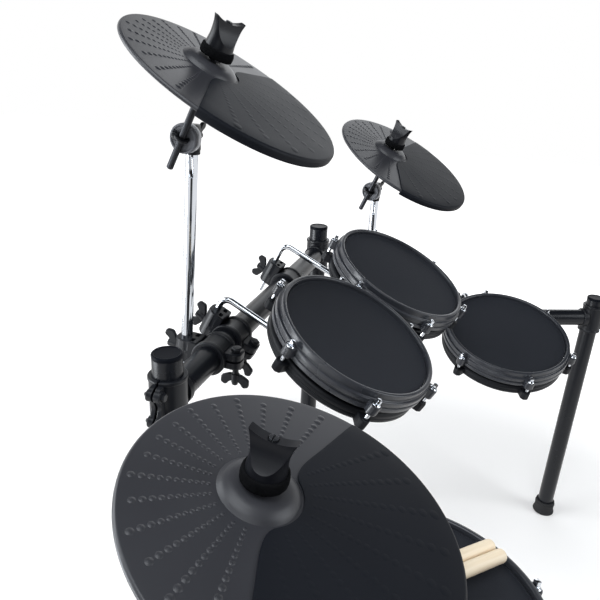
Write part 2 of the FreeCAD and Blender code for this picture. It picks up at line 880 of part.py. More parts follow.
def rod_body(name, head, rod):
    # The tilter's turning disc with its pin and screw, and the rod that it grips
    face = "tilter_width / 2 + tilter_disc_width + seat_gap"
    stem_length = "rod_tail + rod_rise + rod_top"
    stem = cylinder(name + "_stem", rod * at("0", "0", "-rod_tail"), "rod_diameter", stem_length)
    face_spot = head * at(face, "0", "0") * lying_x
    disc = cylinder(name + "_disc", face_spot, "tilter_disc_diameter", "tilter_disc_width")
    eye = cylinder(name + "_eye", head * at(face, "0", "0") * lying_x, "rod_eye_diameter",
                   "rod_side + rod_eye_wall + rod_diameter / 2 - (%s)" % face)
    back = "tilter_width / 2 + seat_gap + thumb_height / 2"
    pin = cylinder(name + "_pin", head * at("-(%s)" % back, "0", "0") * lying_x, "tilter_pin_diameter",
                   "%s + tilter_width / 2 + 2 * tilter_disc_width" % back)
    knob = block(name + "_knob", head * at("-(%s)" % back, "0", "-thumb_span / 2"), "thumb_height",
                 "thumb_thickness", "thumb_span")
    collar = cylinder(name + "_collar", rod * at("0", "0", "rod_rise - %s - collar_height" % low_stack),
                      "collar_diameter", "collar_height")
    return joined(name, [stem, disc, eye, pin, knob, collar])


def felt(name, place, kind):
    # A washer with a crowned upper face, so that the cymbal can rock on it
    hole = "rod_diameter / 2 + fit_gap"
    outline = [
        (hole, "0"),
        (kind + "_diameter / 2", "0"),
        (kind + "_diameter / 2", kind + "_height"),
        (hole, "%s_height + %s_crown" % (kind, kind)),
    ]
    return turned(name, place, outline)


def winged_nut(name, place):
    base = cone(name + "_base", place, "nut_base_diameter", "nut_neck_diameter", "nut_height / 2")
    wings = padded_up(
        name + "_wings",
        place,
        "XZ_Plane",
        [
            ("-nut_neck_diameter / 2", "nut_height / 4"),
            ("nut_neck_diameter / 2", "nut_height / 4"),
            ("nut_neck_diameter / 2", "nut_height / 2"),
            ("nut_top_width / 2", "nut_height"),
            ("nut_neck_diameter / 4", "nut_height - nut_notch"),
            ("-nut_neck_diameter / 4", "nut_height - nut_notch"),
            ("-nut_top_width / 2", "nut_height"),
            ("-nut_neck_diameter / 2", "nut_height / 2"),
        ],
        "nut_thickness",
    )
    bore = cylinder(name + "_bore", place * at("0", "0", "-nut_height"), "rod_diameter + 2 * fit_gap",
                    "3 * nut_height")
    return cut(name, joined(name + "_form", [base, wings]), [bore])


def cymbal_stand(name, tube):
    clamp = tube * turn(along_x, name + "_lean")
    top = (clamp * at("0", name + "_offset", name + "_rise")).Base
    head = Placement(top, Rotation(along_z, number(name + "_heading")))
    rod = head * at("rod_side", "0", "0") * turn(along_x, "-(%s_tilt)" % name)
    keep(name + "_pole", stand_pole(name, clamp, head))
    pivot = rod * at("0", "0", "rod_rise")
    sagged = pivot * turn(along_x, "-(%s_sag)" % name)
    plate_drop = "cymbal_thickness / 2 - cymbal_bow - bell_height"
    plate = sagged * at("0", "0", plate_drop) * turn(along_z, name + "_flip")
    above = pivot * at("0", "0", high_stack)
    keep(
        name + "_rod",
        [
            rod_body(name + "_tilter", head, rod),
            felt(name + "_low_washer", pivot * at("0", "0", "-" + low_stack), "low_felt"),
            felt(name + "_high_washer", above * turn(along_x, "180"), "high_felt"),
            winged_nut(name + "_wing_nut", above * turn(along_z, name + "_nut")),
        ],
    )
    rubber = keep(name + "_rubber", [strike_rubber(name + "_zone", plate)])
    keep(name + "_cymbal", [cut(name + "_dressed", cymbal_plate(name, plate), [rubber])])
    return clamp


def pedal_base(name, heel, toe):
    # A floor plate with two ears for the footboard's pin
    plate = block(name + "_plate", heel * at("0", "(%s) / 2 - board_pin_height" % toe, "0"), "pedal_width",
                  toe, "pedal_plate")
    items = [plate]
    holes = []
    for side in ("-", ""):
        spot = side + "(board_width / 2 + board_side_gap + heel_ear_width / 2)"
        items.append(block(name + "_ear", heel * at(spot, "0", "0"), "heel_ear_width", "2 * board_pin_diameter",
                           "board_pin_height + board_pin_diameter"))
    holes.append(cylinder(name + "_pin_hole", heel * at("-pedal_width", "0", "board_pin_height") * lying_x,
                          "board_pin_diameter + 2 * fit_gap", "2 * pedal_width"))
    return items, holes


def footboard(name, heel):
    pin_length = "board_width + 2 * board_side_gap + 2 * heel_ear_width"
    spot = heel * at("0", "0", "board_pin_height")
    pin = cylinder(name + "_pin", spot * at("-(%s) / 2" % pin_length, "0", "0") * lying_x, "board_pin_diameter",
                   pin_length)
    slope = spot * turn(along_x, "board_angle")
    tread = block(name + "_tread", slope * at("0", "board_length / 2", "-board_thickness / 2"), "board_width",
                  "board_length", "board_thickness")
    ribs = []
    for index in range(tread_rib_count):
        share = (index + 1) / (tread_rib_count + 1)
        ribs.append(block(name + "_rib", slope * at("0", "board_length * %.4f" % share, "board_thickness / 2"),
                          "board_width - 2 * tread_rib_width", "tread_rib_width", "tread_rib_height"))
    return joined(name, [pin, tread] + ribs)


def sound_module(clamp):
    arm = cylinder("module_stem", clamp * at("0", "pole_offset", "-pole_tail / 2"), "pole_diameter",
                   "pole_tail / 2 + module_rise")
    raised = clamp * at("-module_shift", "pole_offset + module_side", "module_rise")
    seat = raised * turn(along_x, "module_tilt")
    outline = [
        ("-module_width / 2", "0"),
        ("module_width / 2", "0"),
        ("module_width / 2", "module_height - module_edge"),
        ("module_width / 2 - module_edge", "module_height"),
        ("-module_width / 2 + module_edge", "module_height"),
        ("-module_width / 2", "module_height - module_edge"),
    ]
    case = padded_up("module_form", seat, "XZ_Plane", outline, "module_depth")
    panel = seat * at("0", "0", "module_height")
    glass = panel * at("module_width * screen_x_share", "module_depth * panel_y_share", "-module_recess")
    screen = block("module_screen_recess", glass, "module_width / 4", "module_depth / 4", "2 * module_recess")
    dial = panel * at("module_width * dial_x_share", "module_depth * panel_y_share", "0")
    button = panel * at("module_width * button_x_share", "-module_depth * panel_y_share", "0")
    dial_hole = cylinder("module_dial_hole", dial * at("0", "0", "-module_height / 2"),
                         "module_dial_shaft + 2 * fit_gap", "module_height")
    button_hole = cylinder("module_button_hole", button * at("0", "0", "-module_height / 2"),
                           "module_button_diameter + 2 * fit_gap", "module_height")
    bracket = block("module_bracket", clamp * at("0", "pole_offset", "module_rise - module_bracket_height"),
                    "2 * pole_diameter", "2 * pole_diameter", "2 * module_bracket_height")
    shelf = block("module_shelf", seat * at("module_shift", "-module_side / 2", "-module_bracket_height / 2"),
                  "2 * pole_diameter", "2 * module_side", "module_bracket_height")
    shell = cut("module_shell", case, [screen, dial_hole, button_hole])
    stand = cut("module_arm", joined("module_arm_form", [arm, bracket, shelf]), [case])
    keep("module_case", [shell, stand])
    knob_spot = dial * at("0", "0", "seat_gap")
    knob = cylinder("module_knob", knob_spot, "module_dial_diameter", "module_dial_height")
    shaft = cylinder("module_knob_shaft", dial * at("0", "0", "-module_height / 4"), "module_dial_shaft",
                     "module_height / 4 + seat_gap")
    keep("module_dial", [joined("module_dial_form", [knob, shaft])])
    keep("module_button", [cylinder("module_button_form", button * at("0", "0", "-module_height / 4"),
                                    "module_button_diameter", "module_height / 4 + module_button_height")])


# From the tower's front to the heel pin of the kick pedal
pedal_distance = "kick_depth + kick_head_thickness + beater_gap + beater_width / 2 + pedal_axle_y"


def kick_tower(place):
    back = place * at("0", "tower_thickness / 2", "0")
    upright = block("tower_upright", back, "tower_width", "tower_thickness", "kick_centre_height + tower_rise")
    base = block("tower_base", back, "tower_base_width", "tower_base_depth", "tower_base_height")
    reach = "%s + board_pin_height - board_length - 2 * pedal_upright_depth" % pedal_distance
    ahead = place * at("0", "-(%s) / 2" % reach, "0")
    tongue = block("tower_tongue", ahead, "tower_width", reach, "pedal_plate")
    keep("kick_tower", [joined("tower_form", [upright, base, tongue])])
    face = place * at("0", "0", "kick_centre_height") * turn(along_x, "90")
    radius = "kick_diameter / 2"
    shell = [
        ("0", "0"),
        (radius, "0"),
        (radius, "kick_depth"),
        (radius + " - kick_wall", "kick_depth"),
        (radius + " - kick_wall", "kick_wall"),
        ("0", "kick_wall"),
    ]
    keep("kick_shell", [turned("kick_cup", face, shell)])
    skin = [
        ("0", "kick_depth"),
        (radius, "kick_depth"),
        (radius, "kick_depth + kick_head_thickness - kick_rim / 4"),
        (radius + " - kick_rim / 4", "kick_depth + kick_head_thickness"),
        ("0", "kick_depth + kick_head_thickness"),
    ]
    keep("kick_head", [turned("kick_skin", face, skin)])


def kick_pedal(heel):
    toe = "board_length + 2 * pedal_upright_depth"
    items, holes = pedal_base("kick_pedal_body", heel, toe)
    axle = heel * at("0", "pedal_axle_y", "pedal_axle_height")
    spread = "board_width / 2 + board_side_gap + pedal_upright_width / 2"
    for side in ("-", ""):
        items.append(block("kick_pedal_upright", heel * at("%s(%s)" % (side, spread), "pedal_axle_y", "0"),
                           "pedal_upright_width", "pedal_upright_depth", "pedal_upright"))
    axle_length = "2 * (%s) + pedal_upright_width" % spread
    holes.append(cylinder("kick_pedal_axle_hole", axle * at("-pedal_width", "0", "0") * lying_x,
                          "pedal_axle_diameter + 2 * fit_gap", "2 * pedal_width"))
    keep("kick_pedal_base", [cut("kick_pedal_form", joined("kick_pedal_blank", items), holes)])
    keep("kick_footboard", [footboard("kick_board", heel)])
    shaft_spot = axle * at("-(%s) / 2" % axle_length, "0", "0") * lying_x
    shaft = cylinder("beater_axle", shaft_spot, "pedal_axle_diameter", axle_length)
    hub = cylinder("beater_hub", axle * at("-beater_hub_width / 2", "0", "0") * lying_x, "beater_hub_diameter",
                   "beater_hub_width")
    lean = axle * turn(along_x, "beater_angle")
    stem = cylinder("beater_stem", lean, "beater_stem_diameter", "beater_stem_length")
    ball = cylinder("beater_ball", lean * at("0", "-beater_width / 2", "beater_stem_length") * lying_y,
                    "beater_diameter", "beater_width")
    keep("kick_beater", [joined("beater_form", [shaft, hub, stem, ball])])


def hihat_pedal(heel):
    toe = "board_length + 2 * board_pin_height"
    items, holes = pedal_base("control_body", heel, toe)
    items.append(block("control_box", heel * at("0", "board_length - control_depth / 2", "0"), "board_width",
                       "control_depth", "control_rise"))
    keep("hihat_pedal_base", [cut("control_form", joined("control_blank", items), holes)])
    keep("hihat_footboard", [footboard("control_board", heel)])


def drumsticks(pad):
    # Two sticks that lie side by side across the snare's rim
    sticks = []
    taper = "stick_length - stick_taper"
    outline = [
        ("0", "0"),
        ("stick_diameter / 2 - stick_round", "0"),
        ("stick_diameter / 2", "stick_round"),
        ("stick_diameter / 2", taper),
        ("stick_tip_diameter / 2", "stick_length - stick_round"),
        ("stick_tip_diameter / 2 - stick_round / 2", "stick_length"),
        ("0", "stick_length"),
    ]
    for side in ("-", ""):
        across = side + "(stick_diameter + stick_gap) / 2 + stick_shift"
        lay = pad * turn(along_z, "stick_heading") * at("-stick_back", across, "stick_diameter / 2 + seat_gap")
        sticks.append(turned("stick", lay * lying_x, outline))
    keep("drumsticks", sticks)


# The rack: rear posts and centre tube, and a side tube with a front post at each end
kit = at("kit_shift_x", "kit_shift_y", "0")
left_foot = kit * at("-rack_span / 2", "0", "0")
right_foot = kit * at("rack_span / 2", "0", "0")
left_heading = turn(along_z, "-90 - left_side_angle")
right_heading = turn(along_z, "-90 + right_side_angle")
half_turn = turn(along_z, "180")
post_height = "centre_tube_height + post_rise"
side_height = "centre_tube_height - side_tube_drop"
centre = left_foot * at("0", "0", "centre_tube_height")
left_side = left_foot * left_heading * at("0", "0", side_height)
right_side = right_foot * right_heading * at("0", "0", side_height)

clamps = {"centre": [], "left": [], "right": []}
screws = {"centre": [], "left": [], "right": []}


def fasten(side, name, spot, diameter, offset, rise="0"):
    clamps[side].append(rack_clamp(name + "_clamp", spot, diameter, offset, rise))
    screws[side].extend(clamp_screws(name + "_clamp", spot, diameter, offset))


def fasten_tee(side, name, spot, gap):
    clamps[side].append(tee(name + "_tee", spot, gap))
    screws[side].extend(tee_bolts(name + "_tee", spot))


for drum, side, tube in (
    ("tom_1", "centre", centre * at("tom_1_along", "0", "0")),
    ("tom_2", "centre", centre * at("tom_2_along", "0", "0")),
    ("tom_3", "right", right_side * at("tom_3_along", "0", "0")),
    ("snare", "left", left_side * at("snare_along", "0", "0") * half_turn),
):
    clamp, pad = drum_pad(drum, tube)
    fasten(side, drum, clamp, "arm_diameter", "arm_offset", "arm_boss_rise")
    if drum == "snare":
        drumsticks(pad)

for cymbal, side, tube in (
    ("crash", "centre", centre * at("crash_along", "0", "0")),
    ("ride", "right", right_side * at("ride_along", "0", "0") * half_turn),
    ("hihat", "left", left_side * at("hihat_along", "0", "0") * half_turn),
):
    clamp = cymbal_stand(cymbal, tube)
    fasten(side, cymbal, clamp, "pole_diameter", cymbal + "_offset")

module_clamp = left_side * at("module_along", "0", "0") * half_turn
fasten("left", "module", module_clamp, "pole_diameter", "pole_offset")
sound_module(module_clamp)

fasten_tee("centre", "left_rear", centre, "fit_gap")
fasten_tee("centre", "right_rear", centre * at("rack_span", "0", "0") * half_turn, "fit_gap")
keep("centre_tubes", [
    post("left_rear_post", left_foot, post_height),
    post("right_rear_post", right_foot, post_height),
    cross_tube("centre_tube", centre, "rack_span"),
])
keep("centre_post_ends", [
    post_cap("left_rear_cap", left_foot, post_height),
    post_cap("right_rear_cap", right_foot, post_height),
    post_foot("left_rear_foot", left_foot),
    post_foot("right_rear_foot", right_foot),
])
for side, start in (("left", left_side), ("right", right_side)):
    front = start * at("side_tube_length", "0", "0")
    front_foot = front * at("0", "0", "-(%s)" % side_height)
    front_top = side_height + " + front_post_rise"
    fasten_tee(side, side + "_side", start, "fit_gap")
    fasten_tee(side, side + "_front", front * half_turn, "fit_gap")
    keep(side + "_tubes", [
        cross_tube(side + "_side_tube", start, "side_tube_length"),
        post(side + "_front_post", front_foot, front_top),
    ])
    keep(side + "_post_ends", [
        post_cap(side + "_front_cap", front_foot, front_top),
        post_foot(side + "_front_foot", front_foot),
    ])
for side in ("centre", "left", "right"):
    keep(side + "_clamps", clamps[side])
    keep(side + "_bolts", screws[side])

# The pieces that stand on the floor
kick_place = kit * at("kick_x", "kick_y", "0")
kick_tower(kick_place)
kick_pedal(kick_place * at("0", "-(%s)" % pedal_distance, "0"))
hihat_pedal(kit * at("control_x", "control_y", "0") * turn(along_z, "control_turn"))

doc.recompute()
for item in doc.Objects:
    if "Invalid" in item.State or "Error" in item.State:
        raise RuntimeError("failed: %s %s" % (item.Label, item.State))
os.makedirs("parts", exist_ok=True)
for piece in pieces:
    shape = piece.Shape
    if shape.isNull() or not shape.isValid():
        raise RuntimeError("bad shape: " + piece.Label)
for piece in pieces:
    piece.Shape.exportStep("parts/%s.step" % piece.Label)
print("wrote", len(pieces), "pieces")
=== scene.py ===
import json
import math
import bpy
from mathutils import Matrix, Vector


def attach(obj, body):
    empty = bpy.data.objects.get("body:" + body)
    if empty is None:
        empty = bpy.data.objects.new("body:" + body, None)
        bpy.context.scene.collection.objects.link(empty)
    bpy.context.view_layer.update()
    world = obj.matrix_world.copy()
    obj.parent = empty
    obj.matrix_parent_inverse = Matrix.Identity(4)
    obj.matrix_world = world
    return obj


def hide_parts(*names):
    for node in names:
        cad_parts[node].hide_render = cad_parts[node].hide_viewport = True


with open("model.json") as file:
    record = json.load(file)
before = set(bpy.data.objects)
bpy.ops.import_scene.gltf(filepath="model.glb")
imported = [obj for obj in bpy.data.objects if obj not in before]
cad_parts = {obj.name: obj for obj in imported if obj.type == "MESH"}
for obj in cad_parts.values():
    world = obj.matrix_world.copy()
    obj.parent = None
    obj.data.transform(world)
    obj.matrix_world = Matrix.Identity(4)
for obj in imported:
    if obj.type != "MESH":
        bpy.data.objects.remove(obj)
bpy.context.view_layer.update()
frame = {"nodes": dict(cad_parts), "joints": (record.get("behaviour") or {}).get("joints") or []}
mm = 0.001
usualSmooth = 35
weldReach = 2e-5
joints = {joint["name"]: joint for joint in frame["joints"]}
upAxis = Vector((0, 0, 1))
print("frame loaded:", len(frame["nodes"]), "nodes")


# ways of working that every piece shares

def deselectAll():
    if bpy.context.object and bpy.context.object.mode != "OBJECT":
        bpy.ops.object.mode_set(mode="OBJECT")
    bpy.ops.object.select_all(action="DESELECT")


def takeUp(piece):
    deselectAll()
    piece.select_set(True)
    bpy.context.view_layer.objects.active = piece


def openMesh(piece):
    takeUp(piece)
    bpy.ops.object.mode_set(mode="EDIT")


def smoothOver(piece, angle):
    takeUp(piece)
    bpy.ops.object.shade_smooth_by_angle(angle=math.radians(angle))
    return piece


def closeMesh(piece, smooth=usualSmooth):
    bpy.ops.mesh.select_all(action="SELECT")
    bpy.ops.mesh.remove_doubles(threshold=weldReach)
    bpy.ops.mesh.normals_make_consistent(inside=False)
    return smoothOver(piece, smooth)


def softCorners(corners, closed, steps=5):
    # corners are (across, up) or (across, up, rounding) in mm
    line = []
    for index, corner in enumerate(corners):
        here = Vector(corner[:2])
        rounding = corner[2] if len(corner) > 2 else 0
        if not rounding or (not closed and index in (0, len(corners) - 1)):
            line.append(here)
            continue
        before = Vector(corners[index - 1][:2]) - here
        after = Vector(corners[(index + 1) % len(corners)][:2]) - here
        reach = min(rounding, before.length * 0.49, after.length * 0.49)
        start = here + before.normalized() * reach
        end = here + after.normalized() * reach
        for step in range(steps + 1):
            t = step / steps
            line.append(start * (1 - t) ** 2 + here * 2 * t * (1 - t) + end * t * t)
    if closed:
        line.append(line[0])
    return line


def penLine(name, points):
    # a wire drawn point by point, in mm; leaves the mesh open with its last point picked
    deselectAll()
    bpy.ops.mesh.primitive_plane_add(size=mm)
    piece = bpy.context.object
    piece.name = name
    bpy.ops.object.mode_set(mode="EDIT")
    bpy.ops.mesh.merge(type="CENTER")
    here = Vector(points[0])
    bpy.ops.transform.translate(value=here * mm)
    for point in points[1:]:
        step = Vector(point) - here
        here = Vector(point)
        bpy.ops.mesh.extrude_vertices_move(TRANSFORM_OT_translate={"value": step * mm})
    return piece


def spinPiece(name, corners, closed, steps, smooth=usualSmooth):
    piece = penLine(name, [(p.x, 0, p.y) for p in softCorners(corners, closed)])
    bpy.ops.mesh.select_all(action="SELECT")
    bpy.ops.mesh.spin(steps=steps, angle=2 * math.pi, center=(0, 0, 0), axis=(0, 0, 1))
    return closeMesh(piece, smooth)


def rodPiece(name, radius, low, high, edge=0.6, steps=48):
    return spinPiece(name, [(0, low), (radius, low, edge), (radius, high, edge), (0, high)], False, steps)


def slabPiece(name, corners, thickness, edge=0):
    # an outline in X and Y, filled and thickened to both sides of its plane
    line = softCorners(corners, True)[:-1]
    piece = penLine(name, [(p.x, p.y, -thickness / 2) for p in line])
    bpy.ops.mesh.select_all(action="SELECT")
    bpy.ops.mesh.edge_face_add()
    bpy.ops.mesh.extrude_region_move(TRANSFORM_OT_translate={"value": (0, 0, thickness * mm)})
    closeMesh(piece)
    if edge:
        smoothOver(softenEdges(piece, edge, 2, 50), usualSmooth)
    return piece


def mirrored(half, flip=(-1, 1)):
    # half an outline, and the same turned round after it
    return half + [(x * flip[0], y * flip[1], *rest) for x, y, *rest in reversed(half)]


def slotCorners(across, up, rounding):
    return [(x * across, y * up, rounding) for x, y in ((-1, -1), (1, -1), (1, 1), (-1, 1))]


def softenEdges(piece, width, rounds, angle):
    takeUp(piece)
    soften = piece.modifiers.new("soften", "BEVEL")
    soften.width = width * mm
    soften.segments = rounds
    soften.limit_method = "ANGLE"
    soften.angle_limit = math.radians(angle)
    bpy.ops.object.modifier_apply(modifier=soften.name)
    return piece


def blockPiece(name, size, middle, edge, rounds):
    deselectAll()
    bpy.ops.mesh.primitive_cube_add(size=1)
    piece = bpy.context.object
    piece.name = name
    bpy.ops.object.mode_set(mode="EDIT")
    bpy.ops.transform.resize(value=Vector(size) * mm)
    bpy.ops.transform.translate(value=Vector(middle) * mm)
    bpy.ops.mesh.select_all(action="SELECT")
    bpy.ops.mesh.bevel(offset=edge * mm, segments=rounds, affect="EDGES")
    return closeMesh(piece, 40)


def settle(piece, place):
    # the place goes into the mesh, and the object stays at the origin
    piece.matrix_world = place
    takeUp(piece)
    bpy.ops.object.transform_apply(location=True, rotation=True, scale=True)
    return piece


def copyOf(piece, place, name=None):
    twin = piece.copy()
    twin.data = piece.data.copy()
    bpy.context.scene.collection.objects.link(twin)
    if name:
        twin.name = name
    return settle(twin, place)


def drop(*pieces):
    for piece in pieces:
        bpy.data.objects.remove(piece)


def joinUp(name, pieces):
    deselectAll()
    for piece in pieces:
        piece.select_set(True)
    bpy.context.view_layer.objects.active = pieces[0]
    bpy.ops.object.join()
    pieces[0].name = name
    pieces[0].data.name = name
    return pieces[0]


def cutWith(piece, cutter, operation):
    takeUp(piece)
    cut = piece.modifiers.new("cut", "BOOLEAN")
    cut.operation = operation
    cut.solver = "EXACT"
    cut.object = cutter
    bpy.ops.object.modifier_apply(modifier=cut.name)
    drop(cutter)


def carve(piece, cutter):
    cutWith(piece, cutter, "DIFFERENCE")
    return smoothOver(piece, usualSmooth)


def shift(x, y, z):
    return Matrix.Translation(Vector((x, y, z)) * mm)


def turn(angle, axis):
    return Matrix.Rotation(math.radians(angle), 4, axis)


def axesAt(x, y, z, spot):
    place = Matrix((x, y, z)).transposed().to_4x4()
    place.translation = spot
    return place


lyingX = turn(90, "Y")
lyingY = turn(-90, "X")


def coat(piece, finish):
    piece.data.materials.clear()
    piece.data.materials.append(finishes[finish])


def finishPiece(piece, finish, body, node):
    coat(piece, finish)
    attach(piece, body)
    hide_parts(node)


# finishes

def surfaceGroup(name, inputs, outputs):
    group = bpy.data.node_groups.new(name, "ShaderNodeTree")
    for label, kind, start in inputs:
        socket = group.interface.new_socket(name=label, in_out="INPUT", socket_type=kind)
        if start is not None:
            socket.default_value = start
    for label, kind in outputs:
        group.interface.new_socket(name=label, in_out="OUTPUT", socket_type=kind)
    return group, group.nodes.new("NodeGroupInput"), group.nodes.new("NodeGroupOutput")


def noiseIn(group, inputs, scaleName, detail):
    noise = group.nodes.new("ShaderNodeTexNoise")
    noise.inputs["Detail"].default_value = detail
    group.links.new(inputs.outputs["Vector"], noise.inputs["Vector"])
    group.links.new(inputs.outputs[scaleName], noise.inputs["Scale"])
    return noise.outputs["Fac"]


def makeMouldGrain():
    # fine grain for the height, slow clouds for tone and gloss
    group, inputs, outputs = surfaceGroup(
        "mouldGrain",
        [("Vector", "NodeSocketVector", None), ("Grain", "NodeSocketFloat", 1500.0),
            ("Clouds", "NodeSocketFloat", 14.0)],
        [("Height", "NodeSocketFloat"), ("Tone", "NodeSocketFloat")],
    )
    group.links.new(noiseIn(group, inputs, "Grain", 2), outputs.inputs["Height"])
    group.links.new(noiseIn(group, inputs, "Clouds", 5), outputs.inputs["Tone"])
    return group


def makeWeave():
    # over and under threads from two crossed waves
    group, inputs, outputs = surfaceGroup(
        "threadWeave",
        [("Vector", "NodeSocketVector", None), ("Threads", "NodeSocketFloat", 900.0)],
        [("Height", "NodeSocketFloat"), ("Tone", "NodeSocketFloat")],
    )
    waves = []
    for direction in ("X", "Y"):
        wave = group.nodes.new("ShaderNodeTexWave")
        wave.bands_direction = direction
        group.links.new(inputs.outputs["Vector"], wave.inputs["Vector"])
        group.links.new(inputs.outputs["Threads"], wave.inputs["Scale"])
        waves.append(wave.outputs["Fac"])
    over = group.nodes.new("ShaderNodeMath")
    over.operation = "MULTIPLY"
    group.links.new(waves[0], over.inputs[0])
    group.links.new(waves[1], over.inputs[1])
    group.links.new(over.outputs[0], outputs.inputs["Height"])
    group.links.new(over.outputs[0], outputs.inputs["Tone"])
    return group


mouldGrain = makeMouldGrain()
threadWeave = makeWeave()


def blankFinish(name):
    finish = bpy.data.materials.new(name)
    finish.use_nodes = True
    return finish, finish.node_tree, finish.node_tree.nodes["Principled BSDF"]


def blendColours(tree, factor, dark, light, target):
    mix = tree.nodes.new("ShaderNodeMix")
    mix.data_type = "RGBA"
    mix.inputs["A"].default_value = (*dark, 1)
    mix.inputs["B"].default_value = (*light, 1)
    tree.links.new(factor, mix.inputs["Factor"])
    tree.links.new(mix.outputs["Result"], target)


def spread(tree, source, low, high, target, fromLow=0.3, fromHigh=0.7):
    span = tree.nodes.new("ShaderNodeMapRange")
    span.inputs["From Min"].default_value = fromLow
    span.inputs["From Max"].default_value = fromHigh
    span.inputs["To Min"].default_value = low
    span.inputs["To Max"].default_value = high
    tree.links.new(source, span.inputs["Value"])
    tree.links.new(span.outputs["Result"], target)


def addBump(tree, source, strength, depth, shader):
    bump = tree.nodes.new("ShaderNodeBump")
    bump.inputs["Strength"].default_value = strength
    bump.inputs["Distance"].default_value = depth * mm
    tree.links.new(source, bump.inputs["Height"])
    tree.links.new(bump.outputs["Normal"], shader.inputs["Normal"])


def mouldedFinish(name, look):
    finish, tree, shader = blankFinish(name)
    coords = tree.nodes.new("ShaderNodeTexCoord")
    grain = tree.nodes.new("ShaderNodeGroup")
    grain.node_tree = mouldGrain
    grain.inputs["Grain"].default_value = look["grain"]
    grain.inputs["Clouds"].default_value = look["clouds"]
    tree.links.new(coords.outputs["Object"], grain.inputs["Vector"])
    blendColours(tree, grain.outputs["Tone"], look["dark"], look["light"], shader.inputs["Base Color"])
    spread(tree, grain.outputs["Tone"], *look["rough"], shader.inputs["Roughness"])
    addBump(tree, grain.outputs["Height"], look["bump"], look.get("depth", 0.1), shader)
    shader.inputs["Metallic"].default_value = look.get("metal", 0)
    shader.inputs["Specular IOR Level"].default_value = look.get("specular", 0.3)
    shader.inputs["Sheen Weight"].default_value = look.get("sheen", 0)
    return finish


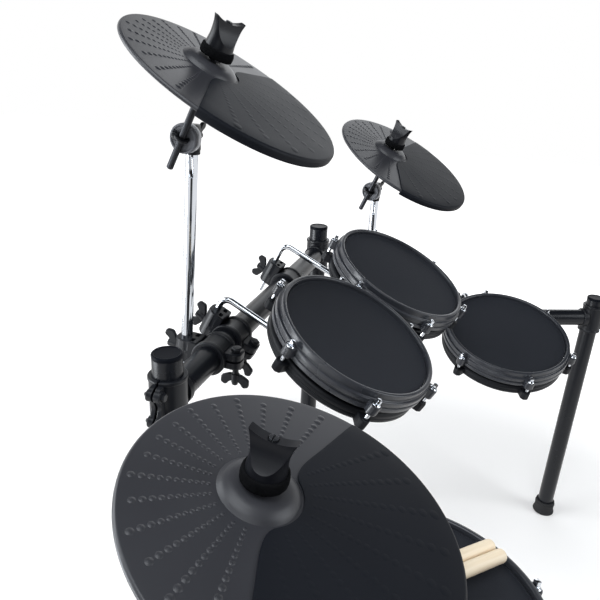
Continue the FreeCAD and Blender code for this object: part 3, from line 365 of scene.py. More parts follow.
finishLooks = {
    "tubeBlack": {"dark": (0.005, 0.0058, 0.008), "light": (0.008, 0.009, 0.012), "rough": (0.24, 0.32),
        "grain": 700, "clouds": 9, "bump": 0.05, "specular": 0.3},
    "capGloss": {"dark": (0.004, 0.0048, 0.007), "light": (0.0065, 0.0075, 0.0105), "rough": (0.26, 0.34),
        "grain": 900, "clouds": 20, "bump": 0.04, "specular": 0.03},
    "clampBlack": {"dark": (0.0065, 0.0072, 0.0092), "light": (0.0105, 0.0115, 0.0145),
        "rough": (0.28, 0.4), "grain": 1900, "clouds": 25, "bump": 0.12, "specular": 0.26},
    "screwBlack": {"dark": (0.0065, 0.007, 0.009), "light": (0.011, 0.0118, 0.0145),
        "rough": (0.26, 0.38), "grain": 1500, "clouds": 40, "bump": 0.08,
        "specular": 0.28},
    "cymbalCharcoal": {"dark": (0.022, 0.0225, 0.0265), "light": (0.03, 0.0305, 0.0355),
        "rough": (0.36, 0.44), "grain": 1500, "clouds": 7, "bump": 0.2, "depth": 0.12, "specular": 0.42},
    "strikeBlack": {"dark": (0.005, 0.006, 0.0088), "light": (0.0075, 0.0088, 0.0125),
        "rough": (0.46, 0.56), "grain": 2300, "clouds": 8, "bump": 0.22, "specular": 0.12},
    "hoopBlack": {"dark": (0.022, 0.0238, 0.029), "light": (0.031, 0.0332, 0.04), "rough": (0.24, 0.32),
        "grain": 1700, "clouds": 12, "bump": 0.08, "specular": 0.5},
    "shellBlack": {"dark": (0.006, 0.0067, 0.0085), "light": (0.0095, 0.0104, 0.013), "rough": (0.4, 0.5),
        "grain": 1700, "clouds": 14, "bump": 0.1, "specular": 0.18},
    "feltBlack": {"dark": (0.0025, 0.0026, 0.003), "light": (0.006, 0.0062, 0.007), "rough": (0.85, 1.0),
        "grain": 2600, "clouds": 160, "bump": 0.6, "depth": 0.5, "specular": 0.05},
    "nutBlack": {"dark": (0.005, 0.0054, 0.0074), "light": (0.0085, 0.0091, 0.0118),
        "rough": (0.28, 0.36), "grain": 1800, "clouds": 30, "bump": 0.1, "specular": 0.26},
    "rodBlack": {"dark": (0.03, 0.0315, 0.036), "light": (0.045, 0.047, 0.053), "rough": (0.32, 0.42),
        "grain": 1200, "clouds": 40, "bump": 0.05, "metal": 0.7},
    "discGrey": {"dark": (0.105, 0.108, 0.12), "light": (0.135, 0.139, 0.152), "rough": (0.42, 0.55),
        "grain": 1600, "clouds": 40, "bump": 0.1},
    "discSilver": {"dark": (0.5, 0.51, 0.53), "light": (0.6, 0.61, 0.63), "rough": (0.34, 0.46),
        "grain": 1400, "clouds": 60, "bump": 0.06, "metal": 0.4},
    "chrome": {"dark": (0.66, 0.69, 0.74), "light": (0.74, 0.77, 0.81), "rough": (0.05, 0.12),
        "grain": 500, "clouds": 18, "bump": 0.012, "metal": 1},
    "footRubber": {"dark": (0.012, 0.012, 0.013), "light": (0.02, 0.02, 0.021), "rough": (0.7, 0.82),
        "grain": 1600, "clouds": 30, "bump": 0.25, "depth": 0.15},
    "towerPaint": {"dark": (0.018, 0.018, 0.02), "light": (0.026, 0.026, 0.029), "rough": (0.42, 0.55),
        "grain": 1100, "clouds": 12, "bump": 0.2, "depth": 0.12},
    "pedalPaint": {"dark": (0.028, 0.029, 0.032), "light": (0.04, 0.041, 0.045), "rough": (0.35, 0.48),
        "grain": 1200, "clouds": 18, "bump": 0.12},
    "boardAlloy": {"dark": (0.42, 0.43, 0.45), "light": (0.52, 0.53, 0.55), "rough": (0.32, 0.46),
        "grain": 1500, "clouds": 22, "bump": 0.1, "metal": 0.9},
    "modulePlastic": {"dark": (0.03, 0.031, 0.034), "light": (0.04, 0.041, 0.044), "rough": (0.45, 0.58),
        "grain": 1800, "clouds": 12, "bump": 0.16},
    "screenGlass": {"dark": (0.008, 0.01, 0.014), "light": (0.012, 0.015, 0.02), "rough": (0.06, 0.1),
        "grain": 300, "clouds": 10, "bump": 0.01},
    "dialPlastic": {"dark": (0.05, 0.05, 0.055), "light": (0.065, 0.065, 0.07), "rough": (0.3, 0.4),
        "grain": 1500, "clouds": 40, "bump": 0.06},
    "buttonRubber": {"dark": (0.24, 0.24, 0.25), "light": (0.3, 0.3, 0.31), "rough": (0.6, 0.7),
        "grain": 1900, "clouds": 60, "bump": 0.15},
    "beaterFelt": {"dark": (0.5, 0.49, 0.46), "light": (0.62, 0.6, 0.57), "rough": (0.9, 1.0),
        "grain": 2200, "clouds": 120, "bump": 0.6, "depth": 0.6, "sheen": 0.3},
}
finishes = {name: mouldedFinish(name, look) for name, look in finishLooks.items()}


def meshFinish(name, look):
    finish, tree, shader = blankFinish(name)
    threads = tree.nodes.new("ShaderNodeUVMap")
    threads.uv_map = "threads"
    weave = tree.nodes.new("ShaderNodeGroup")
    weave.node_tree = threadWeave
    weave.inputs["Threads"].default_value = look["threads"]
    tree.links.new(threads.outputs["UV"], weave.inputs["Vector"])
    blendColours(tree, weave.outputs["Tone"], look["dark"], look["light"], shader.inputs["Base Color"])
    spread(tree, weave.outputs["Tone"], *look["rough"], shader.inputs["Roughness"], 0, 1)
    addBump(tree, weave.outputs["Height"], look["bump"], look["depth"], shader)
    shader.inputs["Specular IOR Level"].default_value = look["specular"]
    return finish


finishes["meshBlack"] = meshFinish("meshBlack", {"dark": (0.009, 0.0105, 0.0145),
    "light": (0.02, 0.0225, 0.03), "rough": (0.85, 0.7), "threads": 260, "bump": 0.25, "depth": 0.2,
    "specular": 0.25})


def mapleFinish(name, look, lay):
    # long grain along the stick, worn a little darker in streaks
    finish, tree, shader = blankFinish(name)
    coords = tree.nodes.new("ShaderNodeTexCoord")
    along = tree.nodes.new("ShaderNodeMapping")
    along.inputs["Rotation"].default_value = lay.to_3x3().inverted().to_euler()
    tree.links.new(coords.outputs["Object"], along.inputs["Vector"])
    stretch = tree.nodes.new("ShaderNodeMapping")
    stretch.inputs["Scale"].default_value = look["stretch"]
    tree.links.new(along.outputs["Vector"], stretch.inputs["Vector"])
    grain = tree.nodes.new("ShaderNodeTexNoise")
    grain.inputs["Scale"].default_value = look["grain"]
    grain.inputs["Detail"].default_value = look["detail"]
    grain.inputs["Distortion"].default_value = look["warp"]
    tree.links.new(stretch.outputs["Vector"], grain.inputs["Vector"])
    blendColours(tree, grain.outputs["Fac"], look["dark"], look["light"], shader.inputs["Base Color"])
    spread(tree, grain.outputs["Fac"], *look["rough"], shader.inputs["Roughness"])
    addBump(tree, grain.outputs["Fac"], look["bump"], look.get("depth", 0.1), shader)
    return finish


print("finishes mixed:", len(bpy.data.materials))


# camera, light and floor

postTop = 735
rackCorner = Vector(joints["left_side_swing"]["pos_m"]) + upAxis * (postTop * mm)
cameraView = {
    "fromCorner": (-520.14, -311.28, 311.53),
    "right": (0.3128, -0.9487, 0.0465),
    "down": (-0.347, -0.1597, -0.9242),
    "ahead": (0.8842, 0.273, -0.3791),
    "lens": 36,
    "sensor": 36,
    "near": 0.01,
}
eye = bpy.data.objects.new("photoCamera", bpy.data.cameras.new("photoCamera"))
bpy.context.scene.collection.objects.link(eye)
eye.data.lens = cameraView["lens"]
eye.data.sensor_width = cameraView["sensor"]
eye.data.clip_start = cameraView["near"]
eye.matrix_world = axesAt(Vector(cameraView["right"]), -Vector(cameraView["down"]),
    -Vector(cameraView["ahead"]), rackCorner + Vector(cameraView["fromCorner"]) * mm)
bpy.context.scene.camera = eye

studioLights = {
    "overhead": {"from": (-0.9, 0.3, 2.6), "size": 1.6, "watts": 34},
    "rightSide": {"from": (0.2, -2.4, 1.6), "size": 1.6, "watts": 34},
    "leftSide": {"from": (-0.5, 2.3, 1.9), "size": 1.6, "watts": 44},
    "front": {"from": (-2.4, -0.5, 2.0), "size": 1.8, "watts": 16},
    "backdrop": {"from": (2.7, 0.2, 1.75), "size": 2.0, "watts": 12},
    "low": {"from": (-1.0, 1.75, 0.35), "size": 1.0, "watts": 34},
}
lampAim = Vector((0, 0, 0.75))
lampColour = (0.92, 0.96, 1)
for name, lamp in studioLights.items():
    light = bpy.data.lights.new(name, "AREA")
    light.size = lamp["size"]
    light.energy = lamp["watts"]
    light.color = lampColour
    holder = bpy.data.objects.new(name, light)
    bpy.context.scene.collection.objects.link(holder)
    holder.location = lamp["from"]
    holder.visible_camera = False
    holder.rotation_euler = (lampAim - holder.location).to_track_quat("-Z", "Y").to_euler()


def mirrorRays(tree, path):
    most = tree.nodes.new("ShaderNodeMath")
    most.operation = "MAXIMUM"
    tree.links.new(path.outputs["Is Glossy Ray"], most.inputs[0])
    tree.links.new(path.outputs["Is Transmission Ray"], most.inputs[1])
    return most.outputs[0]


def towardEnd(tree, source, darkEnd):
    toward = tree.nodes.new("ShaderNodeVectorMath")
    toward.operation = "DOT_PRODUCT"
    toward.inputs[1].default_value = Vector(darkEnd).normalized()
    tree.links.new(source, toward.inputs[0])
    return toward.outputs["Value"]


def mixShaders(tree, factor, first, second):
    mix = tree.nodes.new("ShaderNodeMixShader")
    for socket, source in zip(mix.inputs, (factor, first, second)):
        tree.links.new(source, socket)
    return mix.outputs[0]


def makeWorld(look):
    # white to the eye; bright work also sees the unlit end of the studio
    world = bpy.data.worlds.new("studio")
    bpy.context.scene.world = world
    world.use_nodes = True
    tree = world.node_tree
    path = tree.nodes.new("ShaderNodeLightPath")
    coords = tree.nodes.new("ShaderNodeTexCoord")
    fade = tree.nodes.new("ShaderNodeMapRange")
    fade.interpolation_type = "SMOOTHSTEP"
    fade.inputs["From Min"].default_value = look["fade"][0]
    fade.inputs["From Max"].default_value = look["fade"][1]
    fade.inputs["To Min"].default_value = 1
    fade.inputs["To Max"].default_value = look["dark"]
    tree.links.new(towardEnd(tree, coords.outputs["Generated"], look["darkEnd"]), fade.inputs["Value"])
    dim = tree.nodes["Background"]
    dim.inputs["Color"].default_value = (*look["tint"], 1)
    dim.inputs["Strength"].default_value = look["ambient"]
    room = tree.nodes.new("ShaderNodeBackground")
    tree.links.new(fade.outputs["Result"], room.inputs["Color"])
    bright = tree.nodes.new("ShaderNodeBackground")
    bright.inputs["Color"].default_value = (1, 1, 1, 1)
    seen = mixShaders(tree, mirrorRays(tree, path), dim.outputs[0], room.outputs[0])
    mix = mixShaders(tree, path.outputs["Is Camera Ray"], seen, bright.outputs[0])
    tree.links.new(mix, tree.nodes["World Output"].inputs["Surface"])


def makeFloor(look):
    deselectAll()
    bpy.ops.mesh.primitive_plane_add(size=look["width"])
    floor = bpy.context.object
    floor.name = "floor"
    finish, tree, shader = blankFinish("paleFloor")
    shader.inputs["Base Color"].default_value = (*look["colour"], 1)
    shader.inputs["Roughness"].default_value = look["rough"]
    # the glow is fuller far out, where the lamps don't reach
    coords = tree.nodes.new("ShaderNodeTexCoord")
    reach = tree.nodes.new("ShaderNodeVectorMath")
    reach.operation = "LENGTH"
    tree.links.new(coords.outputs["Object"], reach.inputs[0])
    glow = tree.nodes.new("ShaderNodeEmission")
    spread(tree, reach.outputs["Value"], look["near"], look["far"], glow.inputs["Color"], *look["reach"])
    lit = tree.nodes.new("ShaderNodeAddShader")
    tree.links.new(shader.outputs[0], lit.inputs[0])
    tree.links.new(glow.outputs[0], lit.inputs[1])
    path = tree.nodes.new("ShaderNodeLightPath")
    seen = mixShaders(tree, path.outputs["Is Camera Ray"], shader.outputs[0], lit.outputs[0])
    # bright work sees the sheet end on the unlit side
    bearing = tree.nodes.new("ShaderNodeVectorMath")
    bearing.operation = "NORMALIZE"
    tree.links.new(coords.outputs["Object"], bearing.inputs[0])
    toward = towardEnd(tree, bearing.outputs["Vector"], look["darkEnd"])
    sheet = tree.nodes.new("ShaderNodeEmission")
    spread(tree, toward, 1, look["dark"], sheet.inputs["Color"], *look["fade"])
    mix = mixShaders(tree, mirrorRays(tree, path), seen, sheet.outputs[0])
    tree.links.new(mix, tree.nodes["Material Output"].inputs["Surface"])
    floor.data.materials.append(finish)


makeWorld({"ambient": 0.22, "tint": (0.95, 0.97, 1), "darkEnd": (-0.55, -0.25, 0.8),
    "fade": (-0.2, 0.1), "dark": 0.02})
makeFloor({"width": 14, "colour": (0.9, 0.88, 0.86), "rough": 0.9, "near": 0.14, "far": 1,
    "reach": (1.0, 2.2),
    "darkEnd": (-0.883, -0.469, 0), "fade": (0.9, 0.97), "dark": 0.03})
bpy.context.scene.view_settings.view_transform = "Standard"
print("camera, light and floor set")


# frames read from the joints

padPlaces = {
    "tom_1": {"roll": -2.8, "reach": 177, "rise": 47, "lugs": 0, "socketTurn": 0},
    "tom_2": {"roll": -3.8, "reach": 190, "rise": 60, "lugs": 9, "socketTurn": 0},
    "tom_3": {"roll": 0, "reach": 207.6, "rise": 41.6, "lugs": 0, "socketTurn": 0},
    "snare": {"roll": 0, "reach": 150, "rise": 44.5, "lugs": 40, "socketTurn": 8.2},
}
armShape = {"drop": 75, "offset": 36, "radius": 4.5, "tail": 38, "past": 22, "bend": 14}
for name, pad in padPlaces.items():
    swing = joints[name + "_arm_swing"]
    roll = joints[name + "_roll"]
    z = Vector(swing["axis"])
    y = Vector(roll["axis"])
    pad["socket"] = axesAt(y.cross(z), y, z, Vector(swing["pos_m"]))
    pad["clamp"] = pad["socket"] @ turn(-pad["socketTurn"], "Z") @ shift(0, -armShape["offset"], 0)
    hub = axesAt(y.cross(z), y, z, Vector(roll["pos_m"])) @ turn(pad["roll"], "Y")
    pad["pad"] = hub @ shift(0, -pad["reach"], armShape["drop"])

standPlaces = {
    "crash": {"tilt": 25.8, "sag": 5.7, "spin": 7, "offset": 40, "rise": 273, "along": (1, 0, 0)},
    "ride": {"tilt": 24, "sag": 5.4, "spin": 22, "offset": 36, "rise": 278,
        "along": (-0.406737, 0.913545, 0)},
    "hihat": {"tilt": -10, "sag": -7.7, "spin": 0, "offset": 36, "rise": 137.8,
        "along": (0.707107, 0.707107, 0)},
}
rodSide = 26
rodRise = 91.9
plateRise = 8
for name, stand in standPlaces.items():
    tilter = joints[name + "_tilter"]
    x = Vector(tilter["axis"])
    top = Vector(tilter["pos_m"])
    pole = Vector(joints[name + "_pole_slide"]["axis"])
    stand["head"] = axesAt(x, upAxis.cross(x), upAxis, top)
    stand["rod"] = stand["head"] @ shift(rodSide, 0, 0) @ turn(-stand["tilt"], "X")
    along = Vector(stand["along"])
    stand["pole"] = axesAt(along, pole.cross(along), pole, top)
    stand["clamp"] = stand["pole"] @ shift(0, -stand["offset"], -stand["rise"])
    normal = turn(-(stand["tilt"] + stand["sag"]), x).to_3x3() @ upAxis
    uphill = -(Vector((normal.x, normal.y, 0)).normalized())
    uphill = (uphill - normal * uphill.dot(normal)).normalized()
    pivot = Vector(joints[name + "_rock"]["pos_m"])
    stand["plate"] = axesAt(uphill.cross(normal), uphill, normal,
        pivot - normal * plateRise * mm) @ turn(stand["spin"], "Z")
    stand["pivot"] = stand["rod"] @ shift(0, 0, rodRise)


# cymbals

plateShape = {"radius": 127, "bow": 2.5, "thick": 3, "lip": 4, "lipWidth": 4, "bellShift": 32,
    "curve": 1.7}
rubberShape = {"rise": 1.4, "lip": 9.2, "sink": 1.4, "bay": 33, "shoulder": 13, "shoulderSpan": 44,
    "slope": 0.2667, "bayTurn": 45, "straight": 74, "pulls": (15, 24), "past": 90}
bumpRows = {"first": 37, "step": 3.9, "growth": 1.065, "spacing": 13.85, "edge": 8, "gap": 7, "fullStep": 7,
    "radius": 2.9, "height": 0.72, "faint": 0.14}


def bowAt(r):
    return plateShape["bow"] * (1 - (r / plateShape["radius"]) ** plateShape["curve"])


def dishLine(lift, radii):
    return [(r, bowAt(r) + lift) for r in radii]


def zoneEdge(side):
    # from the middle of the bay out to the rim, in the dish's plane
    shape = rubberShape
    bellShift = plateShape["bellShift"]
    line = []
    for step in range(0, 13):
        angle = math.radians(270 + side * step * shape["bayTurn"] / 12)
        line.append(Vector((shape["bay"] * math.cos(angle), bellShift + shape["bay"] * math.sin(angle))))
    start = line[-1]
    far = shape["straight"]
    end = Vector((side * far, shape["shoulder"] - shape["slope"] * (far - shape["shoulderSpan"])))
    out = Vector((side, -shape["slope"])).normalized()
    a = start + Vector((side, 1)).normalized() * shape["pulls"][0]
    b = end - out * shape["pulls"][1]
    for step in range(1, 15):
        t = step / 14
        line.append(start * (1 - t) ** 3 + a * 3 * t * (1 - t) ** 2 + b * 3 * t * t * (1 - t) + end * t ** 3)
    line.append(end + out * shape["past"])
    return line


def aboveZone(x, y):
    # how far a point of the plate lies behind the rubber's edge
    edge = zoneEdge(1 if x > 0 else -1)
    best = 1e9
    for a, b in zip(edge, edge[1:]):
        if min(a.x, b.x) <= x <= max(a.x, b.x):
            t = (x - a.x) / (b.x - a.x) if b.x != a.x else 0
            best = min(best, y - (a.y + (b.y - a.y) * t))
    return best


def bumpSpots():
    solid, soft = [], []
    rows = round(360 / bumpRows["spacing"])
    for row in range(rows):
        angle = math.radians(90 + row * 360 / rows)
        far, step = bumpRows["first"], bumpRows["step"]
        while True:
            x = far * math.cos(angle)
            y = plateShape["bellShift"] + far * math.sin(angle)
            if math.hypot(x, y) > plateShape["radius"] - bumpRows["edge"]:
                break
            gap = aboveZone(x, y)
            if gap > bumpRows["gap"]:
                solid.append((x, y, step / bumpRows["fullStep"]))
            elif gap < -bumpRows["gap"]:
                soft.append((x, y, step / bumpRows["fullStep"]))
            far += step
            step *= bumpRows["growth"]
    return solid, soft


def bumpField(name, spots, height, lift):
    radius = bumpRows["radius"]
    dome = spinPiece(name, [(0, height), (radius * 0.45, height * 0.82), (radius * 0.8, height * 0.35),
        (radius * 1.1, -height * 0.35)], False, 10, 80)
    field = []
    for x, y, size in spots:
        r = math.hypot(x, y)
        lean = math.atan2(bowAt(r) - bowAt(r + 1), 1)
        tip = Matrix.Rotation(lean, 4, Vector((-y, x, 0)))
        field.append(copyOf(dome, shift(x, y, bowAt(r) + lift) @ tip @ Matrix.Scale(size, 4)))
    drop(dome)
    return joinUp(name, field)


def makePlateForms():
    shape = plateShape
    rim = shape["radius"]
    top = dishLine(0, range(0, 122, 8))
    under = [(r, z - shape["thick"]) for r, z in dishLine(0, range(0, 121, 8))]
    plate = spinPiece("plateForm", top + [(rim - 1.6, 0.1, 0.8), (rim, -1.6, 1.2),
        (rim, -shape["lip"], 0.9), (rim - shape["lipWidth"], -shape["lip"], 0.8),
        (rim - shape["lipWidth"], -shape["thick"], 0.5)] + under[::-1], False, 160)
    low = -rubberShape["lip"]
    top = dishLine(rubberShape["rise"], range(0, 118, 8))
    under = [(r, z - rubberShape["sink"]) for r, z in dishLine(0, range(0, 121, 8))]
    rubber = spinPiece("rubberForm", top + [(rim - 2.2, 0.9, 3), (rim + 0.02, -1.2, 2),
        (rim + 0.02, low + 1, 2.4), (rim - 3, low, 1.5), (rim - 4.2, low, 0.6), (rim - 4.2, -1.6, 0.4)]
        + under[::-1], False, 160)
    edge = [(p.x, p.y) for p in zoneEdge(-1)[::-1]] + [(p.x, p.y) for p in zoneEdge(1)[1:]]
    zone = slabPiece("zoneForm", edge + [(edge[-1][0], -200), (edge[0][0], -200)], 60)
    cutWith(rubber, zone, "INTERSECT")
    carve(plate, copyOf(rubber, Matrix()))
    hole = rodPiece("bellHole", 27, -20, 20, 0.1, 64)
    carve(plate, settle(hole, shift(0, shape["bellShift"], 0)))
    smoothOver(softenEdges(rubber, 0.7, 3, 50), 40)
    bell = spinPiece("bellForm", [(33, 0.6), (31, 2.6, 1), (28.4, 5.4, 3), (23.2, 8.6, 4), (17.5, 9.5, 4),
        (6.5, 9.5, 0.6), (6.5, 6.5, 0.4), (15, 6.5, 3), (22, 5.4, 3), (26, 2.2, 1), (28, -0.4)], True, 96)
    settle(bell, shift(0, shape["bellShift"], 0))
    solid, soft = bumpSpots()
    plate = joinUp("plateForm", [plate, bell, bumpField("plateBumps", solid, bumpRows["height"], 0)])
    rubber = joinUp("rubberForm",
        [rubber, bumpField("rubberBumps", soft, bumpRows["faint"], rubberShape["rise"])])
    return plate, rubber


plateForm, rubberForm = makePlateForms()
for name, stand in standPlaces.items():
    dish = stand["plate"] @ shift(0, -plateShape["bellShift"], 0)
    finishPiece(copyOf(plateForm, dish, name + "CymbalPlate"), "cymbalCharcoal",
        name + "_plate", name + "_cymbal")
    finishPiece(copyOf(rubberForm, dish, name + "StrikeZone"), "strikeBlack", name + "_plate",
        name + "_rubber")
drop(plateForm, rubberForm)
print("cymbals dressed")


# cymbal stands

nutShape = {"height": 30, "base": 15.4, "waist": 14, "top": 18.5, "scoop": 35, "scoopOut": 39,
    "scoopUp": 30, "dip": 4.5}
rodShape = {"radius": 4, "tail": 38, "top": 109, "collar": 6.5, "collarHeight": 10}
nutTurns = {"crash": -28, "ride": 75, "hihat": 90}
mastShape = {"radius": 7.5, "end": 6.6, "top": -16, "below": 70}
mastSlot = {"size": (6, 4.6, 25), "middle": (8, 0, -34.5), "turn": 188}
lowStack, highStack = 9.6, 15.1
feltShape = {"bore": 4.2, "fuzz": 2.2, "level": 0.8}


def makeNut():
    shape = nutShape
    nut = spinPiece("nutForm", [(0, -2), (shape["base"], -2, 1), (14.8, 4, 3), (shape["waist"], 10, 4),
        (14.4, 16, 4), (16, 23.5, 4), (shape["top"], shape["height"], 0.8), (0, shape["height"])], False,
        72)
    for side in (1, -1):
        scoop = rodPiece("scoopForm", shape["scoop"], -30, 30, 0.2, 128)
        carve(nut, settle(scoop, shift(0, side * shape["scoopOut"], shape["scoopUp"]) @ lyingX))
    reach = (shape["top"] ** 2 + shape["dip"] ** 2) / (2 * shape["dip"])
    saddle = rodPiece("saddleForm", reach, -30, 30, 0.2, 128)
    carve(nut, settle(saddle, shift(0, 0, shape["height"] - shape["dip"] + reach) @ lyingY))
    carve(nut, rodPiece("nutBore", 4.15, -5, 60, 0.1, 40))
    return smoothOver(softenEdges(nut, 0.7, 2, 30), 50)


def makeStud():
    stud = rodPiece("studForm", 3.6, 18, 42.4, 0.7, 40)
    carve(stud, blockPiece("studSlot", (10, 1.3, 4), (0, 0, 42.4), 0.1, 1))
    return stud


def makeFelt(radius, height, crown, lumps):
    bore = feltShape["bore"]
    felt = spinPiece("feltForm", [(bore, 0.2, 0.4), (radius - 0.8, 0.2, 1.6), (radius, height / 2, 3),
        (radius - 0.4, height, 1.6), (bore, height + crown, 1)], True, 72)
    openMesh(felt)
    bpy.ops.mesh.select_all(action="SELECT")
    bpy.ops.mesh.subdivide(number_cuts=1)
    closeMesh(felt, 60)
    fuzz = bpy.data.textures.new("fuzz", "CLOUDS")
    fuzz.noise_scale = feltShape["fuzz"] * mm
    push = felt.modifiers.new("push", "DISPLACE")
    push.texture = fuzz
    push.strength = lumps * mm
    push.mid_level = feltShape["level"]
    takeUp(felt)
    bpy.ops.object.modifier_apply(modifier=push.name)
    return felt


def wireRod(name, points, radius, sides=6):
    # a drawn line thickened to a round rod, its ends closed
    piece = penLine(name, points)
    takeUp(piece)
    bpy.ops.object.convert(target="CURVE")
    piece = bpy.context.object
    piece.data.bevel_depth = radius * mm
    piece.data.bevel_resolution = sides
    piece.data.use_fill_caps = True
    bpy.ops.object.convert(target="MESH")
    piece = bpy.context.object
    piece.name = name
    openMesh(piece)
    return closeMesh(piece, 40)


def arcPoints(middle, radius, start, end, steps, flat="yz"):
    points = []
    for step in range(steps + 1):
        angle = math.radians(start + (end - start) * step / steps)
        a, b = radius * math.cos(angle), radius * math.sin(angle)
        spot = {"xy": (a, b, 0), "yz": (0, a, b)}[flat]
        points.append(tuple(Vector(middle) + Vector(spot)))
    return points


def wingForm(name, span, height, thick):
    # two drooping lobes with a hub between them, in the X and Z plane
    half = span / 2
    lobe = slabPiece(name, [(0, 0.5, 1), (half * 0.42, 0.4, 3), (half * 0.98, height * 0.32, 3),
        (half * 0.99, height * 0.86, 3.5), (half * 0.62, height, 3), (half * 0.34, height * 0.62, 3),
        (0, height * 0.55, 2), (-half * 0.34, height * 0.62, 3), (-half * 0.62, height, 3),
        (-half * 0.99, height * 0.86, 3.5), (-half * 0.98, height * 0.32, 3), (-half * 0.42, 0.4, 3)],
        thick * 0.86, 1.2)
    settle(lobe, turn(90, "X"))
    hub = spinPiece(name + "Hub", [(0, 0), (thick * 0.95, 0, 1), (thick * 0.8, height * 0.72, 1.2),
        (0, height * 0.72)], False, 32)
    return joinUp(name, [lobe, hub])


def makeTilterHead():
    # the pole's black top with a bright disc on the rod's side and a wing nut behind
    body = blockPiece("tilterBody", (17, 15, 31), (0.5, 0, -1.4), 2.4, 3)
    cap = spinPiece("poleCap", [(0, -15), (8.8, -15, 0.8), (8.8, -20, 0.8), (0, -20)], False, 48)
    wing = settle(wingForm("tilterWing", 32, 15, 5), shift(-9.5, 0, 0) @ turn(-90, "Y") @ turn(20, "Z"))
    disc = spinPiece("tilterDisc", [(4.2, 8.6), (16, 8.6, 1), (17, 11, 1), (17, 16.9, 0.9), (4.2, 16.9)],
        True, 72)
    return joinUp("tilterBlack", [body, cap, wing]), settle(disc, lyingX)


def makeRodDisc():
    return settle(spinPiece("rodDisc", [(0, 17.3), (16.6, 17.3, 0.6), (17, 20, 0.8), (16.6, 23.2, 0.8),
        (14.6, 23.6, 0.6), (13.6, 22, 0.6), (0, 21.6)], False, 72), lyingX)


def makeRodParts(tilt):
    # the rod leans in the head's frame, and a hook from the disc holds it
    lean = shift(rodSide, 0, 0) @ turn(-tilt, "X")
    r, low, top = rodShape["radius"], -rodShape["tail"], rodShape["top"]
    seat = rodRise - lowStack
    stem = spinPiece("rodStem", [(0, low), (2.8, low, 0.2), (r, low + 1.2, 0.3), (r, top, 0.3), (0, top)],
        False, 40)
    collar = rodPiece("rodCollar", rodShape["collar"], seat - rodShape["collarHeight"], seat, 1)
    loop = arcPoints((0.4, 0, 0), 6.4, 110, -250, 28, "xy")
    hook = wireRod("rodHook", [(-5, 3, -3)] + loop + [(-6, 6, 3)], 2.2)
    knuckle = blockPiece("rodKnuckle", (9, 10, 9), (-2.2, -8.6, -1), 2.4, 3)
    stem, hook = joinUp("rodBlack", [stem, collar]), joinUp("rodHook", [hook, knuckle])
    return settle(stem, lean), settle(hook, lean)


nutForm, studForm = makeNut(), makeStud()
lowFelt, highFelt = makeFelt(10, 6, 1.2, 0.35), makeFelt(18.2, 10.3, 2.4, 0.6)
tilterBlack, tilterDisc = makeTilterHead()
rodDisc = makeRodDisc()
for name, stand in standPlaces.items():
    rodBody, poleBody = name + "_rod_body", name + "_pole_body"
    lift = stand["pivot"]
    finishPiece(copyOf(nutForm, lift @ shift(0, 0, highStack) @ turn(nutTurns[name], "Z"),
        name + "WingNut"), "nutBlack", rodBody, name + "_rod")
    finishPiece(copyOf(studForm, lift, name + "Stud"), "rodBlack", rodBody,
        name + "_rod")
    felts = [copyOf(highFelt, lift @ shift(0, 0, highStack) @ turn(180, "X")),
        copyOf(lowFelt, lift @ shift(0, 0, -lowStack))]
    finishPiece(joinUp(name + "Felts", felts), "feltBlack", rodBody, name + "_rod")
    stem, hook = makeRodParts(stand["tilt"])
    finishPiece(settle(joinUp(name + "Rod", [stem]), stand["head"]), "rodBlack", rodBody,
        name + "_rod")
    finishPiece(settle(joinUp(name + "RodHook", [hook]), stand["head"]), "clampBlack", rodBody,
        name + "_rod")
    finishPiece(copyOf(rodDisc, stand["head"], name + "RodDisc"), "discGrey", rodBody,
        name + "_rod")
    finishPiece(copyOf(tilterBlack, stand["head"], name + "Tilter"), "clampBlack", poleBody,
        name + "_pole")
    finishPiece(copyOf(tilterDisc, stand["head"], name + "TilterDisc"), "discSilver", poleBody,
        name + "_pole")
    r, low, top = mastShape["radius"], -stand["rise"] - mastShape["below"], mastShape["top"]
    mast = spinPiece(name + "Mast", [(0, low), (mastShape["end"], low, 0.5), (r, low + 1.6, 0.8),
        (r, top), (0, top)], False, 64)
    settle(mast, stand["pole"])
    carve(mast, settle(blockPiece("mastSlot", mastSlot["size"], mastSlot["middle"], 1.4, 3),
        Matrix.Translation(stand["pole"].translation) @ turn(mastSlot["turn"], "Z")))
    finishPiece(mast, "chrome", poleBody, name + "_pole")
drop(nutForm, studForm, lowFelt, highFelt, tilterBlack, tilterDisc, rodDisc)
print("cymbal stands built")


# drum pads

hoopShape = {"inner": 103.3, "lip": 109.3, "outer": 113, "step": -9.5, "low": -26, "grooveTop": -16,
    "grooveLow": -20, "groove": 2}
lugShape = {"circle": 118, "width": 15, "earTop": -9.5, "earHeight": 15, "receiverTop": -35,
    "receiverHeight": 14, "out": 124, "count": 6}


def ringOf(piece, name):
    count = lugShape["count"]
    ring = joinUp(name, [copyOf(piece, turn(360 / count * index, "Z")) for index in range(count)])
    drop(piece)
    return ring


